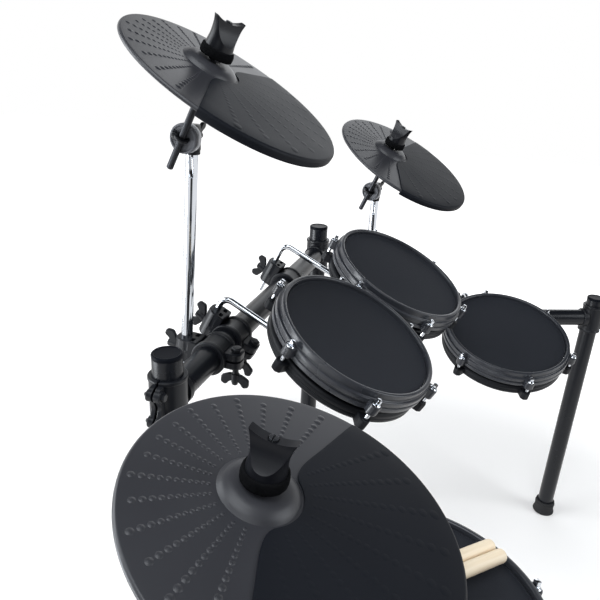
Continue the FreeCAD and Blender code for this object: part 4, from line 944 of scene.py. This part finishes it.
def makeHoop():
    shape = hoopShape
    outer = shape["outer"]
    ring = spinPiece("hoopForm", [(shape["inner"], -3.4, 0.6), (shape["inner"] + 0.5, -0.9, 1.4),
        (105.6, 0, 1.6), (shape["lip"], -0.2, 3), (shape["lip"], shape["step"], 1.6),
        (outer, shape["step"], 2.4), (outer, shape["grooveTop"], 0.8),
        (outer - shape["groove"], shape["grooveTop"] - 0.6, 0.5),
        (outer - shape["groove"], shape["grooveLow"] + 0.6, 0.5), (outer, shape["grooveLow"], 0.8),
        (outer, shape["low"], 1.4), (outer - 3, shape["low"], 0.8), (outer - 3.6, -12, 0.6),
        (shape["inner"], -12, 0.6)], True, 192)
    shape = lugShape
    half = shape["width"] / 2
    ear = slabPiece("earForm", mirrored([(-half, 108.5), (-half, shape["out"] - 4, 2),
        (-half + 3.4, shape["out"], 4)]), shape["earHeight"], 1.4)
    settle(ear, shift(0, 0, shape["earTop"] - shape["earHeight"] / 2))
    carve(ear, settle(rodPiece("earHollow", 6.2, -1.2, 5, 0.2, 32),
        shift(0, shape["circle"], shape["earTop"])))
    carve(ear, settle(rodPiece("earBore", 3.0, -40, 5, 0.2, 24), shift(0, shape["circle"], 0)))
    return joinUp("hoopForm", [ring, ringOf(ear, "hoopEars")])


def makeShell():
    cup = spinPiece("shellForm", [(96.6, -7.4, 0.8), (101.1, -7.4, 0.8), (101.1, -32.8), (107, -33, 1),
        (110, -36, 1.6), (110, -40, 0.6), (109.2, -40.6, 0.4), (109.2, -42, 0.4), (110, -42.6, 0.6),
        (110, -47, 1.6), (107, -50, 1.6), (60, -50), (58, -48.4, 1), (40, -48.4, 1), (38, -50), (0, -50),
        (0, -46), (96.6, -46, 3)], True, 160)
    shape = lugShape
    half = shape["width"] / 2
    block = slabPiece("receiverForm", mirrored([(-half, 106), (-half, shape["out"] - 5, 1),
        (-half + 4, shape["out"], 1.5)]), shape["receiverHeight"], 1.2)
    settle(block, shift(0, 0, shape["receiverTop"] - shape["receiverHeight"] / 2))
    carve(block, settle(rodPiece("receiverBore", 3.1, -7.5, 5, 0.2, 24),
        shift(0, shape["circle"], shape["receiverTop"])))
    return cup, ringOf(block, "shellReceivers")


def makeMount():
    mount = blockPiece("mountForm", (34, 72, 38), (0, 6, -68.8), 3, 3)
    bore = rodPiece("mountBore", 4.56, -60, 60, 0.1, 40)
    carve(mount, settle(bore, shift(0, 0, -armShape["drop"]) @ lyingY))
    ribs = [blockPiece("mountRib", (3, 60, 8), (side * 19, 6, -53.6), 1, 2) for side in (-1, 1)]
    knob = settle(wingForm("mountWing", 26, 13, 5), shift(-16.5, 24, -armShape["drop"]) @ turn(-90, "Y"))
    return joinUp("mountForm", [mount] + ribs + [knob])


def makeScrews():
    shape = lugShape
    top = shape["earTop"] - 1.2
    shank = rodPiece("screwShank", 2.75, -42, top, 0.4, 24)
    washer = spinPiece("screwWasher", [(0, top), (5.5, top, 0.5), (5.5, top + 1.6, 0.6),
        (3.6, top + 2.6, 0.5), (0, top + 2.6)], False, 40)
    key = blockPiece("screwKey", (5.4, 5.4, 6.4), (0, 0, top + 5.6), 0.8, 2)
    screw = settle(joinUp("screwForm", [shank, washer, key]), shift(0, shape["circle"], 0))
    return ringOf(screw, "screwSet")


def threadMap(piece):
    # the weave follows the head's own plane
    layer = piece.data.uv_layers.new(name="threads")
    for loop in piece.data.loops:
        spot = piece.data.vertices[loop.vertex_index].co
        layer.data[loop.index].uv = (spot.x, spot.y)


def makeHead():
    head = spinPiece("headForm", [(0, -5.9), (60, -5.95), (100.4, -6, 0.4), (101, -5.2, 0.4),
        (102.9, -5.4, 0.5), (102.9, -13.6, 0.4), (101.4, -13.6, 0.3), (101.4, -7.1, 0.3), (0, -7.1)],
        False, 160)
    threadMap(head)
    return head


hoopForm, headForm = makeHoop(), makeHead()
cupForm, receiverForm = makeShell()
mountForm, screwForm = makeMount(), makeScrews()
for name, pad in padPlaces.items():
    body = name + "_pad"
    lugs = pad["pad"] @ turn(pad["lugs"], "Z")
    finishPiece(copyOf(hoopForm, lugs, name + "Hoop"), "hoopBlack", body,
        name + "_hoop")
    finishPiece(copyOf(headForm, pad["pad"], name + "Head"), "meshBlack", body,
        name + "_head")
    shell = joinUp(name + "Shell", [copyOf(cupForm, pad["pad"]), copyOf(receiverForm, lugs),
        copyOf(mountForm, pad["pad"])])
    finishPiece(shell, "shellBlack", body, name + "_shell")
    finishPiece(copyOf(screwForm, lugs, name + "Screws"), "chrome", body,
        name + "_screws")
    bend, rise = armShape["bend"], pad["rise"]
    arm = [(0, 0, -armShape["tail"]), (0, 0, rise - bend)]
    arm += arcPoints((0, -bend, rise - bend), bend, 0, 90, 12)[1:]
    arm.append((0, -pad["reach"] - armShape["past"], rise))
    finishPiece(settle(wireRod(name + "Arm", arm, armShape["radius"]), pad["socket"]), "chrome",
        name + "_arm_body", name + "_arm")
drop(hoopForm, headForm, cupForm, receiverForm, mountForm, screwForm)
print("drum pads built")


# rack

leftPost = Vector((rackCorner.x, rackCorner.y, 0))
rackShape = {"tube": 17.5, "span": 590, "centre": 678, "side": 538, "sideLength": 620, "leftSwing": 45,
    "rightSwing": 24, "frontRise": 48, "moduleAlong": 412}
sleeveShape = {"outer": 21.7, "lip": 22.7, "lipHeight": 4, "height": 60}
tubeBore = 17.62
earShape = {"out": 28.2, "barrel": 7.2, "spacing": 34, "slit": 1.25, "plate": 5.6}


def swungOut(side, angle):
    return Vector((side * math.sin(math.radians(angle)), -math.cos(math.radians(angle)), 0))


def tubeFrame(start, along, height):
    return axesAt(along, upAxis.cross(along), upAxis, start + upAxis * height * mm)


leftAlong = swungOut(-1, rackShape["leftSwing"])
rightAlong = swungOut(1, rackShape["rightSwing"])
rightPost = leftPost + Vector((rackShape["span"] * mm, 0, 0))
centreTube = tubeFrame(leftPost, Vector((1, 0, 0)), rackShape["centre"])
leftTube = tubeFrame(leftPost, leftAlong, rackShape["side"])
rightTube = tubeFrame(rightPost, rightAlong, rackShape["side"])
halfTurn = turn(180, "Z")
moduleClamp = leftTube @ shift(rackShape["moduleAlong"], 0, 0) @ halfTurn


def makePost(name, height):
    # its ends are hidden by the cap and the foot
    r = rackShape["tube"]
    return spinPiece(name, [(0, 8), (r, 8, 0.4), (r, height - 5.2, 0.5), (0, height - 5.2)], False, 72)


def makeCap(height):
    r = rackShape["tube"]
    cap = spinPiece("capForm", [(0, -12), (r - 2.6, -12), (r - 2.6, 0), (r, 0, 0.3), (r + 0.2, 0.6, 0.3),
        (r + 0.2, 3.9, 0.9), (r - 1.2, 5, 0.7), (r - 2.4, 4.9, 0.4), (r - 2.8, 4.1, 0.4), (0, 4.3)],
        False, 72)
    return settle(cap, shift(0, 0, height - 5))


def makeFoot():
    return spinPiece("footForm", [(0, 0), (20, 0, 0.6), (24.6, 2, 1), (25, 4, 1.4), (23.4, 9, 1),
        (22.4, 10, 0.6), (22.2, 24, 0.6), (23, 25, 0.5), (23, 28, 0.5), (22, 29, 0.5), (21.8, 33, 0.8),
        (20.6, 34, 0.6), (17.8, 34, 0.5), (17.8, 8), (0, 8)], False, 72)


def makeTubeAcross(name, length):
    r = rackShape["tube"]
    start = sleeveShape["outer"] - 1.4
    return settle(spinPiece(name, [(0, start), (r, start), (r, length - start), (0, length - start)],
        False, 72), lyingX)


def makeSleeve():
    shape = sleeveShape
    low = -shape["height"] / 2
    lip = low + shape["lipHeight"]
    ring = spinPiece("sleeveForm", mirrored([(tubeBore, low, 0.6), (shape["lip"], low, 1.2),
        (shape["lip"], lip, 1.2), (shape["outer"], lip + 1, 0.6)], (1, -1)), True, 72)
    saddle = spinPiece("sleeveSaddle", [(0, 16), (20.4, 16), (20.4, 24.6, 1.2), (19, 25.6, 0.6),
        (17.6, 25.6), (0, 25.6)], False, 64)
    carve(ring, blockPiece("sleeveSlit", (20, 2 * earShape["slit"], 80), (-24, 0, 0), 0.05, 1))
    parts = [ring, settle(saddle, lyingX)]
    out = earShape["out"]
    for side in (1, -1):
        plate = slabPiece("earPlate", [(-18, 27, 1), (-out - 1, 26.5, 4), (-out - 4.6, 20, 4),
            (-out - 2, 10, 4), (-25.6, 0, 5), (-out - 2, -10, 4), (-out - 4.6, -20, 4),
            (-out - 1, -26.5, 4), (-18, -27, 1)], earShape["plate"], 0.9)
        settle(plate, shift(0, side * (earShape["slit"] + earShape["plate"] / 2), 0) @ turn(90, "X"))
        parts.append(plate)
        for level in (1, -1):
            barrel = spinPiece("earBarrel", [(0, earShape["slit"]),
                (earShape["barrel"], earShape["slit"], 0.6), (earShape["barrel"], 8.6, 1.2),
                (earShape["barrel"] - 2.2, 9.2, 0.5), (0, 8.4)], False, 40)
            settle(barrel, shift(-out, 0, level * earShape["spacing"] / 2) @ turn(-90 * side, "X"))
            parts.append(barrel)
    return joinUp("sleeveForm", parts)


def makeEarBolts():
    # a six-sided head on one side, the thread's end on the other
    parts = []
    for level in (1, -1):
        place = shift(-earShape["out"], 0, level * earShape["spacing"] / 2) @ lyingY
        head = spinPiece("boltHead", [(0, -13), (4.6, -13, 0.6), (5.2, -12.2, 0.6), (5.2, -8.4, 0.3),
            (0, -8.4)], False, 6, 20)
        shank = spinPiece("boltEnd", [(0, 8), (2.9, 8), (2.9, 9.4), (2.5, 9.8), (2.9, 10.2), (2.5, 10.6),
            (2.9, 11), (2.4, 11.6), (2.2, 12.6, 0.4), (0, 12.6)], False, 24)
        nut = spinPiece("boltNut", [(0, 7.6), (4.6, 7.6), (4.6, 9.6, 0.4), (0, 9.6)], False, 6, 20)
        parts += [settle(piece, place) for piece in (head, shank, nut)]
    return joinUp("earBolts", parts)


clampShape = {"collar": 23.5, "waist": 21.6, "half": 20, "bossHalf": 15, "bossHeight": 32, "bossWall": 5,
    "lugReach": 40.5, "lugHeight": 22, "slit": 3, "jawBolt": 32}


def makeClamp(bore, offset, rise):
    # a ring with a thick collar at each end, a pocketed boss round the upright and a split jaw
    shape = clampShape
    low = -shape["half"]
    ring = spinPiece("clampRing", mirrored([(tubeBore, low, 0.6), (22.6, low, 1),
        (shape["collar"], low + 1.4, 1), (shape["collar"], low + 6.6, 0.8),
        (shape["waist"], low + 7.8, 0.6)], (1, -1)), True, 72)
    settle(ring, lyingX)
    length = offset + bore / 2 + shape["bossWall"]
    wide = shape["bossHalf"]
    boss = slabPiece("clampBoss", mirrored([(-wide, 18.5), (-wide, offset - 4, 3),
        (-wide + 1.5, length - 6, 5), (-wide + 8, length, 5)]), shape["bossHeight"] + rise, 1.6)
    settle(boss, shift(0, 0, rise / 2))
    carve(boss, settle(rodPiece("clampBore", bore / 2 + 0.06, -40, 40, 0.1, 48), shift(0, offset, 0)))
    for side in (1, -1):
        for level in (1, -1):
            carve(boss, blockPiece("clampPocket", (8.6, 5.4, 24),
                (side * 7.4, offset - bore / 2 - 5.2, level * 20 + max(level, 0) * rise), 0.8, 2))
            carve(boss, blockPiece("clampPocket", (6, 6, 24), (side * 17.6, offset - 6, level * 14), 0.8,
                2))
    carve(boss, settle(rodPiece("tubeBore", tubeBore, -40, 40, 0.1, 72), lyingX))
    tongue = spinPiece("clampTongue", [(0, 0), (7.6, 0), (7.6, 7.4, 1.2), (6.6, 8.4, 0.4), (0, 8.4)],
        False, 40)
    settle(tongue, shift(0, length - 8, 0) @ lyingY)
    carve(tongue, settle(rodPiece("uprightBore", bore / 2 + 0.06, -40, 40, 0.1, 48), shift(0, offset, 0)))
    jaw = slabPiece("clampJaw", [(-13, -18.4), (13, -18.4), (13, -34, 4), (8, -shape["lugReach"], 5),
        (-8, -shape["lugReach"], 5), (-13, -34, 4)], shape["lugHeight"], 1.6)
    carve(jaw, blockPiece("jawSlit", (60, 40, shape["slit"]), (0, -38, 0), 0.05, 1))
    carve(jaw, settle(rodPiece("jawBore", 4.2, -30, 30, 0.1, 32), shift(0, -shape["jawBolt"], 0)))
    return joinUp("clampForm", [ring, boss, tongue, jaw])


def makeWingBolts(bore, offset):
    jaw = [
        rodPiece("jawShank", 4, -38, 12, 0.6, 32),
        spinPiece("jawHead", [(0, 11), (6.6, 11, 0.6), (7.5, 12, 0.6), (7.5, 15.6, 1.2), (5.5, 17, 0.6),
            (0, 17)], False, 6, 20),
        settle(wingForm("jawWing", 40, 19, 6), shift(0, 0, -22) @ turn(90, "Z") @ turn(180, "X")),
    ]
    for piece in jaw:
        settle(piece, shift(0, -clampShape["jawBolt"], 0))
    start = offset + bore / 2 + 0.3
    lock = [
        settle(rodPiece("lockShank", 4, 0, 12, 0.6, 32), shift(0, start, 0) @ lyingY),
        settle(wingForm("lockWing", 40, 19, 6), shift(0, start + 5.4, 0) @ lyingY @ turn(90, "Z")),
    ]
    return joinUp("wingBolts", jaw + lock)


clampPlaces = {
    "centre": [("pole", standPlaces["crash"]["clamp"], 40), ("arm", padPlaces["tom_1"]["clamp"], 36),
        ("arm", padPlaces["tom_2"]["clamp"], 36)],
    "left": [("pole", standPlaces["hihat"]["clamp"], 36), ("arm", padPlaces["snare"]["clamp"], 36),
        ("pole", moduleClamp, 40)],
    "right": [("pole", standPlaces["ride"]["clamp"], 36), ("arm", padPlaces["tom_3"]["clamp"], 36)],
}
sleevePlaces = {
    "centre": [centreTube, centreTube @ shift(rackShape["span"], 0, 0) @ halfTurn],
    "left": [leftTube, leftTube @ shift(rackShape["sideLength"], 0, 0) @ halfTurn],
    "right": [rightTube, rightTube @ shift(rackShape["sideLength"], 0, 0) @ halfTurn],
}
sideBodies = {"centre": "rack", "left": "left_side", "right": "right_side"}
sleeveForm, earBolts = makeSleeve(), makeEarBolts()
clampKinds = (("pole", 40), ("pole", 36), ("arm", 36))
bores = {"pole": 15, "arm": 9}
bossRises = {"pole": 0, "arm": 8}
clampForms = {(kind, offset): makeClamp(bores[kind], offset, bossRises[kind]) for kind, offset in clampKinds}
wingForms = {(kind, offset): makeWingBolts(bores[kind], offset) for kind, offset in clampKinds}
for side, body in sideBodies.items():
    grips = [copyOf(sleeveForm, place) for place in sleevePlaces[side]]
    grips += [copyOf(clampForms[kind, offset], place) for kind, place, offset in clampPlaces[side]]
    finishPiece(joinUp(side + "Clamps", grips), "clampBlack", body,
        side + "_clamps")
    bolts = [copyOf(earBolts, place) for place in sleevePlaces[side]]
    bolts += [copyOf(wingForms[kind, offset], place) for kind, place, offset in clampPlaces[side]]
    finishPiece(joinUp(side + "Bolts", bolts), "screwBlack", body,
        side + "_bolts")
drop(sleeveForm, earBolts, *clampForms.values(), *wingForms.values())

frontTop = rackShape["side"] + rackShape["frontRise"]
frontLeft = leftPost + leftAlong * rackShape["sideLength"] * mm
frontRight = rightPost + rightAlong * rackShape["sideLength"] * mm
rackTubes = {
    "centre": ([(leftPost, postTop), (rightPost, postTop)], centreTube, rackShape["span"]),
    "left": ([(frontLeft, frontTop)], leftTube, rackShape["sideLength"]),
    "right": ([(frontRight, frontTop)], rightTube, rackShape["sideLength"]),
}
for side, (posts, across, length) in rackTubes.items():
    body = sideBodies[side]
    tubes = [settle(makeTubeAcross(side + "Across", length), across)]
    tubes += [settle(makePost(side + "Post", height), Matrix.Translation(spot)) for spot, height in posts]
    finishPiece(joinUp(side + "Tubes", tubes), "tubeBlack", body, side + "_tubes")
    caps = [settle(makeCap(height), Matrix.Translation(spot)) for spot, height in posts]
    finishPiece(joinUp(side + "Caps", caps), "capGloss", body,
        side + "_post_ends")
    feet = [settle(makeFoot(), Matrix.Translation(spot)) for spot, height in posts]
    finishPiece(joinUp(side + "Feet", feet), "footRubber", body,
        side + "_post_ends")
print("rack built")


# sticks on the snare

stickShape = {"radius": 6.5, "length": 400, "taper": 90, "neck": 3.4, "tip": 4.5, "heading": 87.5,
    "back": 96, "gap": 6.65, "shift": -1, "lift": 6.8}


def makeStick():
    shape = stickShape
    end = shape["length"]
    r = shape["radius"]
    return spinPiece("stickForm", [(0, 0), (3.4, 0.1, 1.6), (r - 0.5, 1.6, 2), (r, 4, 2),
        (r, end - shape["taper"], 30), (shape["neck"], end - 12, 6), (shape["neck"], end - 10.6, 1.2),
        (shape["tip"], end - 6.4, 2.6), (2.6, end - 0.6, 2), (0, end)], False, 48)


stickLay = padPlaces["snare"]["pad"] @ turn(stickShape["heading"], "Z")
stickForm = makeStick()
sticks = []
for side in (-1, 1):
    place = stickLay @ shift(-stickShape["back"], side * stickShape["gap"] + stickShape["shift"],
        stickShape["lift"]) @ lyingX
    sticks.append(copyOf(stickForm, place))
drop(stickForm)
finishes["stickMaple"] = mapleFinish("stickMaple", {"dark": (0.7, 0.55, 0.37),
    "light": (0.86, 0.75, 0.58), "rough": (0.38, 0.5), "grain": 240, "detail": 6,
    "warp": 0.6, "stretch": (0.06, 1, 1), "bump": 0.08}, stickLay)
finishPiece(joinUp("drumStickPair", sticks), "stickMaple", "snare_pad",
    "drumsticks")
print("sticks laid down")


# sound module

moduleShape = {"width": 170, "depth": 120, "height": 36, "screen": (-17, 24), "dial": (47.6, 24),
    "button": (-51, -24), "seat": (-40, 70, 78), "slope": 32}
moduleSeat = moduleClamp @ shift(*moduleShape["seat"]) @ turn(moduleShape["slope"], "X")


def makeModuleCase():
    shape = moduleShape
    case = blockPiece("moduleCase", (shape["width"], shape["depth"], shape["height"]),
        (0, 0, shape["height"] / 2), 5, 4)
    x, y = shape["screen"]
    carve(case, blockPiece("screenCut", (42.4, 30, 10), (x, y, 39.5), 0.6, 2))
    x, y = shape["dial"]
    carve(case, settle(rodPiece("dialSeat", 19, 35.2, 50, 0.3, 64), shift(x, y, 0)))
    x, y = shape["button"]
    carve(case, settle(rodPiece("buttonWell", 6.3, 20, 50, 0.2, 40), shift(x, y, 0)))
    for level in (11, 15, 19, 23):
        carve(case, blockPiece("caseSlot", (70, 6, 1.6), (0, 60, level), 0.3, 1))
    keys = []
    for column in range(5):
        for row in range(2):
            if column or row:
                keys.append(blockPiece("caseKey", (10, 6, 3), (-22 + column * 17, -14 - row * 18, 36.4),
                    0.9, 2))
    stem = rodPiece("moduleStem", 7.5, -35, 76, 0.8, 48)
    knee = blockPiece("moduleKnee", (30, 30, 14), (0, 0, 76), 3, 3)
    stem = settle(joinUp("moduleStem", [stem, knee]),
        moduleSeat.inverted() @ moduleClamp @ shift(0, 40, 0))
    shelf = blockPiece("moduleShelf", (30, 60, 8), (40, -15, -3.9), 2, 3)
    return case, keys, joinUp("moduleStand", [stem, shelf])


caseForm, caseKeys, moduleStand = makeModuleCase()
finishPiece(settle(caseForm, moduleSeat), "modulePlastic", "left_side",
    "module_case")
finishPiece(settle(moduleStand, moduleSeat), "clampBlack", "left_side",
    "module_case")
finishPiece(settle(joinUp("moduleKeys", caseKeys), moduleSeat), "dialPlastic", "left_side",
    "module_case")
screen = settle(blockPiece("moduleScreen", (42, 29.6, 1), (*moduleShape["screen"], 35.2), 0.4, 2),
    moduleSeat)
finishPiece(screen, "screenGlass", "left_side", "module_case")
dial = spinPiece("moduleDial", [(0, 36.3), (17, 36.3, 0.5), (17, 38, 0.6), (15.6, 39, 0.6), (15, 47, 1.4),
    (13, 48.3, 1), (10, 47.4, 1), (0, 47)], False, 72)
dialRib = blockPiece("dialRib", (1.6, 2, 7), (0, 15.4, 42.6), 0.5, 1)
grooves = [copyOf(dialRib, turn(30 * index, "Z")) for index in range(12)]
drop(dialRib)
dial = joinUp("moduleDial", [dial] + grooves)
finishPiece(settle(dial, moduleSeat @ shift(*moduleShape["dial"], 0)), "dialPlastic",
    "module_dial_body", "module_dial")
button = spinPiece("moduleButton", [(0, 28), (6, 28, 0.4), (6, 39.6, 1.4), (4, 41, 1.4), (0, 41)], False,
    48)
finishPiece(settle(button, moduleSeat @ shift(*moduleShape["button"], 0)), "buttonRubber",
    "module_button_body", "module_button")
print("module built")


# kick tower and pedals

kickShape = {"aside": -60, "ahead": -120, "faceHeight": 245, "heel": -306}
controlShape = {"aside": -470, "ahead": -330, "turn": -25}
pedalShape = {"pin": 20, "slope": 14, "axleAhead": 238, "axleHeight": 116}
beaterLean = 38


def onFloor(shape):
    middle = rackShape["span"] / 2
    return Matrix.Translation(leftPost) @ shift(middle + shape["aside"], shape["ahead"], 0)


def towerSlot(level):
    cutter = slabPiece("towerSlot", slotCorners(5, 12, 5), 60)
    return settle(cutter, shift(0, 6, level) @ turn(90, "X"))


def makeTower():
    upright = blockPiece("towerUpright", (60, 12, 305), (0, 6, 152.5), 2.4, 3)
    for level in (60, 110, 290):
        carve(upright, towerSlot(level))
    base = blockPiece("towerBase", (300, 44, 8), (0, 6, 4), 2, 3)
    tongue = blockPiece("towerTongue", (60, 28, 6), (0, -12, 3), 1.4, 2)
    flanges = [blockPiece("towerFlange", (4, 20, 296), (side * 28, 10, 152), 1.4, 2) for side in (-1, 1)]
    foot = spinPiece("towerFoot", [(0, 0), (13, 0, 0.6), (14, 2, 0.6), (12, 10, 1.5), (0, 11)], False, 40)
    feet = [copyOf(foot, shift(side * 134, 6, 0)) for side in (-1, 1)]
    drop(foot)
    braces = [wireRod("towerBrace", [(side * 120, 6, 6), (side * 70, 6, 50), (side * 24, 6, 130)], 5)
        for side in (-1, 1)]
    return joinUp("kickTower", [upright, base, tongue] + flanges + feet + braces)


def makeKick():
    shell = spinPiece("kickShell", [(0, 0.2), (88, 0.2, 2), (94, 4, 4), (94, 34, 1), (95, 36, 0.8),
        (95, 46.6, 0.8), (92, 46.6), (90, 44), (90, 6), (0, 6)], False, 120)
    head = spinPiece("kickHead", [(0, 48.9), (60, 48.8), (86, 48.4, 3), (88, 47.6, 1), (90, 49, 1),
        (94, 49, 1.6), (95, 47, 0.8), (95, 46.7), (0, 46.4)], False, 120)
    ring = spinPiece("kickPatch", [(20, 48.4), (22, 49, 0.4), (34, 49, 0.4), (36, 48.4)], True, 72)
    return shell, joinUp("kickHead", [head, ring])


def makePedalBase(toe):
    plate = slabPiece("pedalPlate", [(-48, -20, 8), (48, -20, 8), (48, toe - 20, 4), (-48, toe - 20, 4)],
        6, 1.2)
    settle(plate, shift(0, 0, 3))
    for y in (50, 110, 170):
        carve(plate, settle(slabPiece("plateSlot", slotCorners(26, 14, 8), 30), shift(0, y, 3)))
    ears = []
    for side in (-1, 1):
        ear = slabPiece("heelEar", [(-8, 5), (8, 5), (8, 22, 8), (0, 28.4, 6), (-8, 22, 8)], 5, 0.8)
        ears.append(settle(ear, shift(side * 45.5, 0, 0) @ turn(90, "X") @ turn(90, "Y")))
        ears.append(settle(rodPiece("heelPin", 6, 0, 3, 0.8, 24),
            shift(side * 46.5, 0, pedalShape["pin"]) @ turn(90 * side, "Y")))
    return joinUp("pedalBase", [plate] + ears)


def makeUprights():
    ahead, height = pedalShape["axleAhead"], pedalShape["axleHeight"]
    parts = []
    for side in (-1, 1):
        post = slabPiece("pedalPost", [(-12, 2), (12, 2), (9, 100, 20), (11, 122, 8), (0, 130.5, 8),
            (-11, 122, 8), (-9, 100, 20)], 14, 1.8)
        settle(post, shift(side * 50, ahead, 0) @ turn(90, "Z") @ turn(90, "X"))
        parts.append(post)
        cap = spinPiece("bearingCap", [(0, 0), (9, 0), (9, 2, 0.8), (7, 3, 0.6), (4, 3.2), (0, 2.6)],
            False, 40)
        parts.append(settle(cap, shift(side * 57, ahead, height) @ turn(90 * side, "Y")))
        spring = [(side * 55.5 + 3 * math.cos(t * 0.8), 252 + 3 * math.sin(t * 0.8), 40 + t * 0.9)
            for t in range(0, 64)]
        parts.append(wireRod("pedalSpring", spring, 0.7, 2))
        parts.append(blockPiece("springArm", (8, 22, 5), (side * 54, 247, 99), 1.4, 2))
        parts.append(blockPiece("springFoot", (8, 16, 5), (side * 54, 248, 38), 1.4, 2))
    return joinUp("pedalUprights", parts)


def makeFootboard():
    # in the slope's frame: heel pin at the origin, toe along Y
    board = slabPiece("boardForm", [(-40, -6, 6), (40, -6, 6), (42, 60, 30), (38, 150, 40), (40, 210, 20),
        (26, 230, 16), (-26, 230, 16), (-40, 210, 20), (-38, 150, 40), (-42, 60, 30)], 6.6, 1.6)
    for x in (-20, 0, 20):
        for y in (92, 126, 160):
            carve(board, settle(slabPiece("boardSlot", slotCorners(4, 9, 4), 30), shift(x, y, 0)))
    ribRows = (33, 66, 76, 143, 178, 197)
    ribs = [blockPiece("boardRib", (64, 4, 2.4), (0, y, 3.8), 0.9, 2) for y in ribRows]
    pin = settle(rodPiece("boardPin", 4, -46, 46, 0.6, 32), lyingX)
    return joinUp("boardForm", [board, pin] + ribs)


def makeBeater():
    shaft = settle(spinPiece("beaterShaft", [(0, -56), (5, -56, 0.6), (5, 56, 0.6), (0, 56)], False, 6,
        20), lyingX)
    hub = settle(spinPiece("beaterHub", [(0, -15), (11, -15, 1), (12, -13, 1), (12, 13, 1), (11, 15, 1),
        (0, 15)], False, 48), lyingX)
    screw = settle(spinPiece("hubScrew", [(0, 10), (3.4, 10), (3.4, 17, 0.8), (0, 17)], False, 6, 20),
        turn(beaterLean - 90, "X"))
    stem = settle(rodPiece("beaterStem", 3.5, 6, 132, 0.6, 32), turn(beaterLean, "X"))
    ball = spinPiece("beaterBall", [(0, -17), (14, -17, 3), (21, -12, 5), (22, 0, 6), (21, 12, 5),
        (14, 17, 3), (0, 17)], False, 64)
    settle(ball, turn(beaterLean, "X") @ shift(0, 0, 130) @ lyingY)
    return joinUp("beaterMetal", [shaft, hub, screw, stem]), ball


def layBoard(name, heel):
    place = heel @ shift(0, 0, pedalShape["pin"]) @ turn(pedalShape["slope"], "X")
    finishPiece(copyOf(boardForm, place, name + "Footboard"), "boardAlloy", name + "_footboard_body",
        name + "_footboard")


kickPlace = onFloor(kickShape)
kickFace = kickPlace @ shift(0, 0, kickShape["faceHeight"]) @ turn(90, "X")
finishPiece(settle(makeTower(), kickPlace), "towerPaint", "rack", "kick_tower")
kickShell, kickHead = makeKick()
finishPiece(settle(kickShell, kickFace), "shellBlack", "rack", "kick_shell")
finishPiece(settle(kickHead, kickFace), "strikeBlack", "rack", "kick_head")
kickHeel = kickPlace @ shift(0, kickShape["heel"], 0)
kickBase = joinUp("kickPedalBase", [makePedalBase(278), makeUprights()])
finishPiece(settle(kickBase, kickHeel), "pedalPaint", "rack", "kick_pedal_base")
boardForm = makeFootboard()
layBoard("kick", kickHeel)
beaterMetal, beaterBall = makeBeater()
axle = kickHeel @ shift(0, pedalShape["axleAhead"], pedalShape["axleHeight"])
finishPiece(settle(beaterMetal, axle), "chrome", "kick_beater_body",
    "kick_beater")
finishPiece(settle(beaterBall, axle), "beaterFelt", "kick_beater_body",
    "kick_beater")
controlHeel = onFloor(controlShape) @ turn(controlShape["turn"], "Z")
controlBox = blockPiece("controlBox", (84, 60, 34), (0, 200, 17), 3, 3)
controlBase = joinUp("hihatPedalBase", [makePedalBase(270), controlBox])
finishPiece(settle(controlBase, controlHeel), "pedalPaint", "rack",
    "hihat_pedal_base")
layBoard("hihat", controlHeel)
drop(boardForm)
print("floor pieces built")


# every solid gets a finish, though only the triggers are left unreplaced
for node in frame["nodes"].values():
    coat(node, "clampBlack")
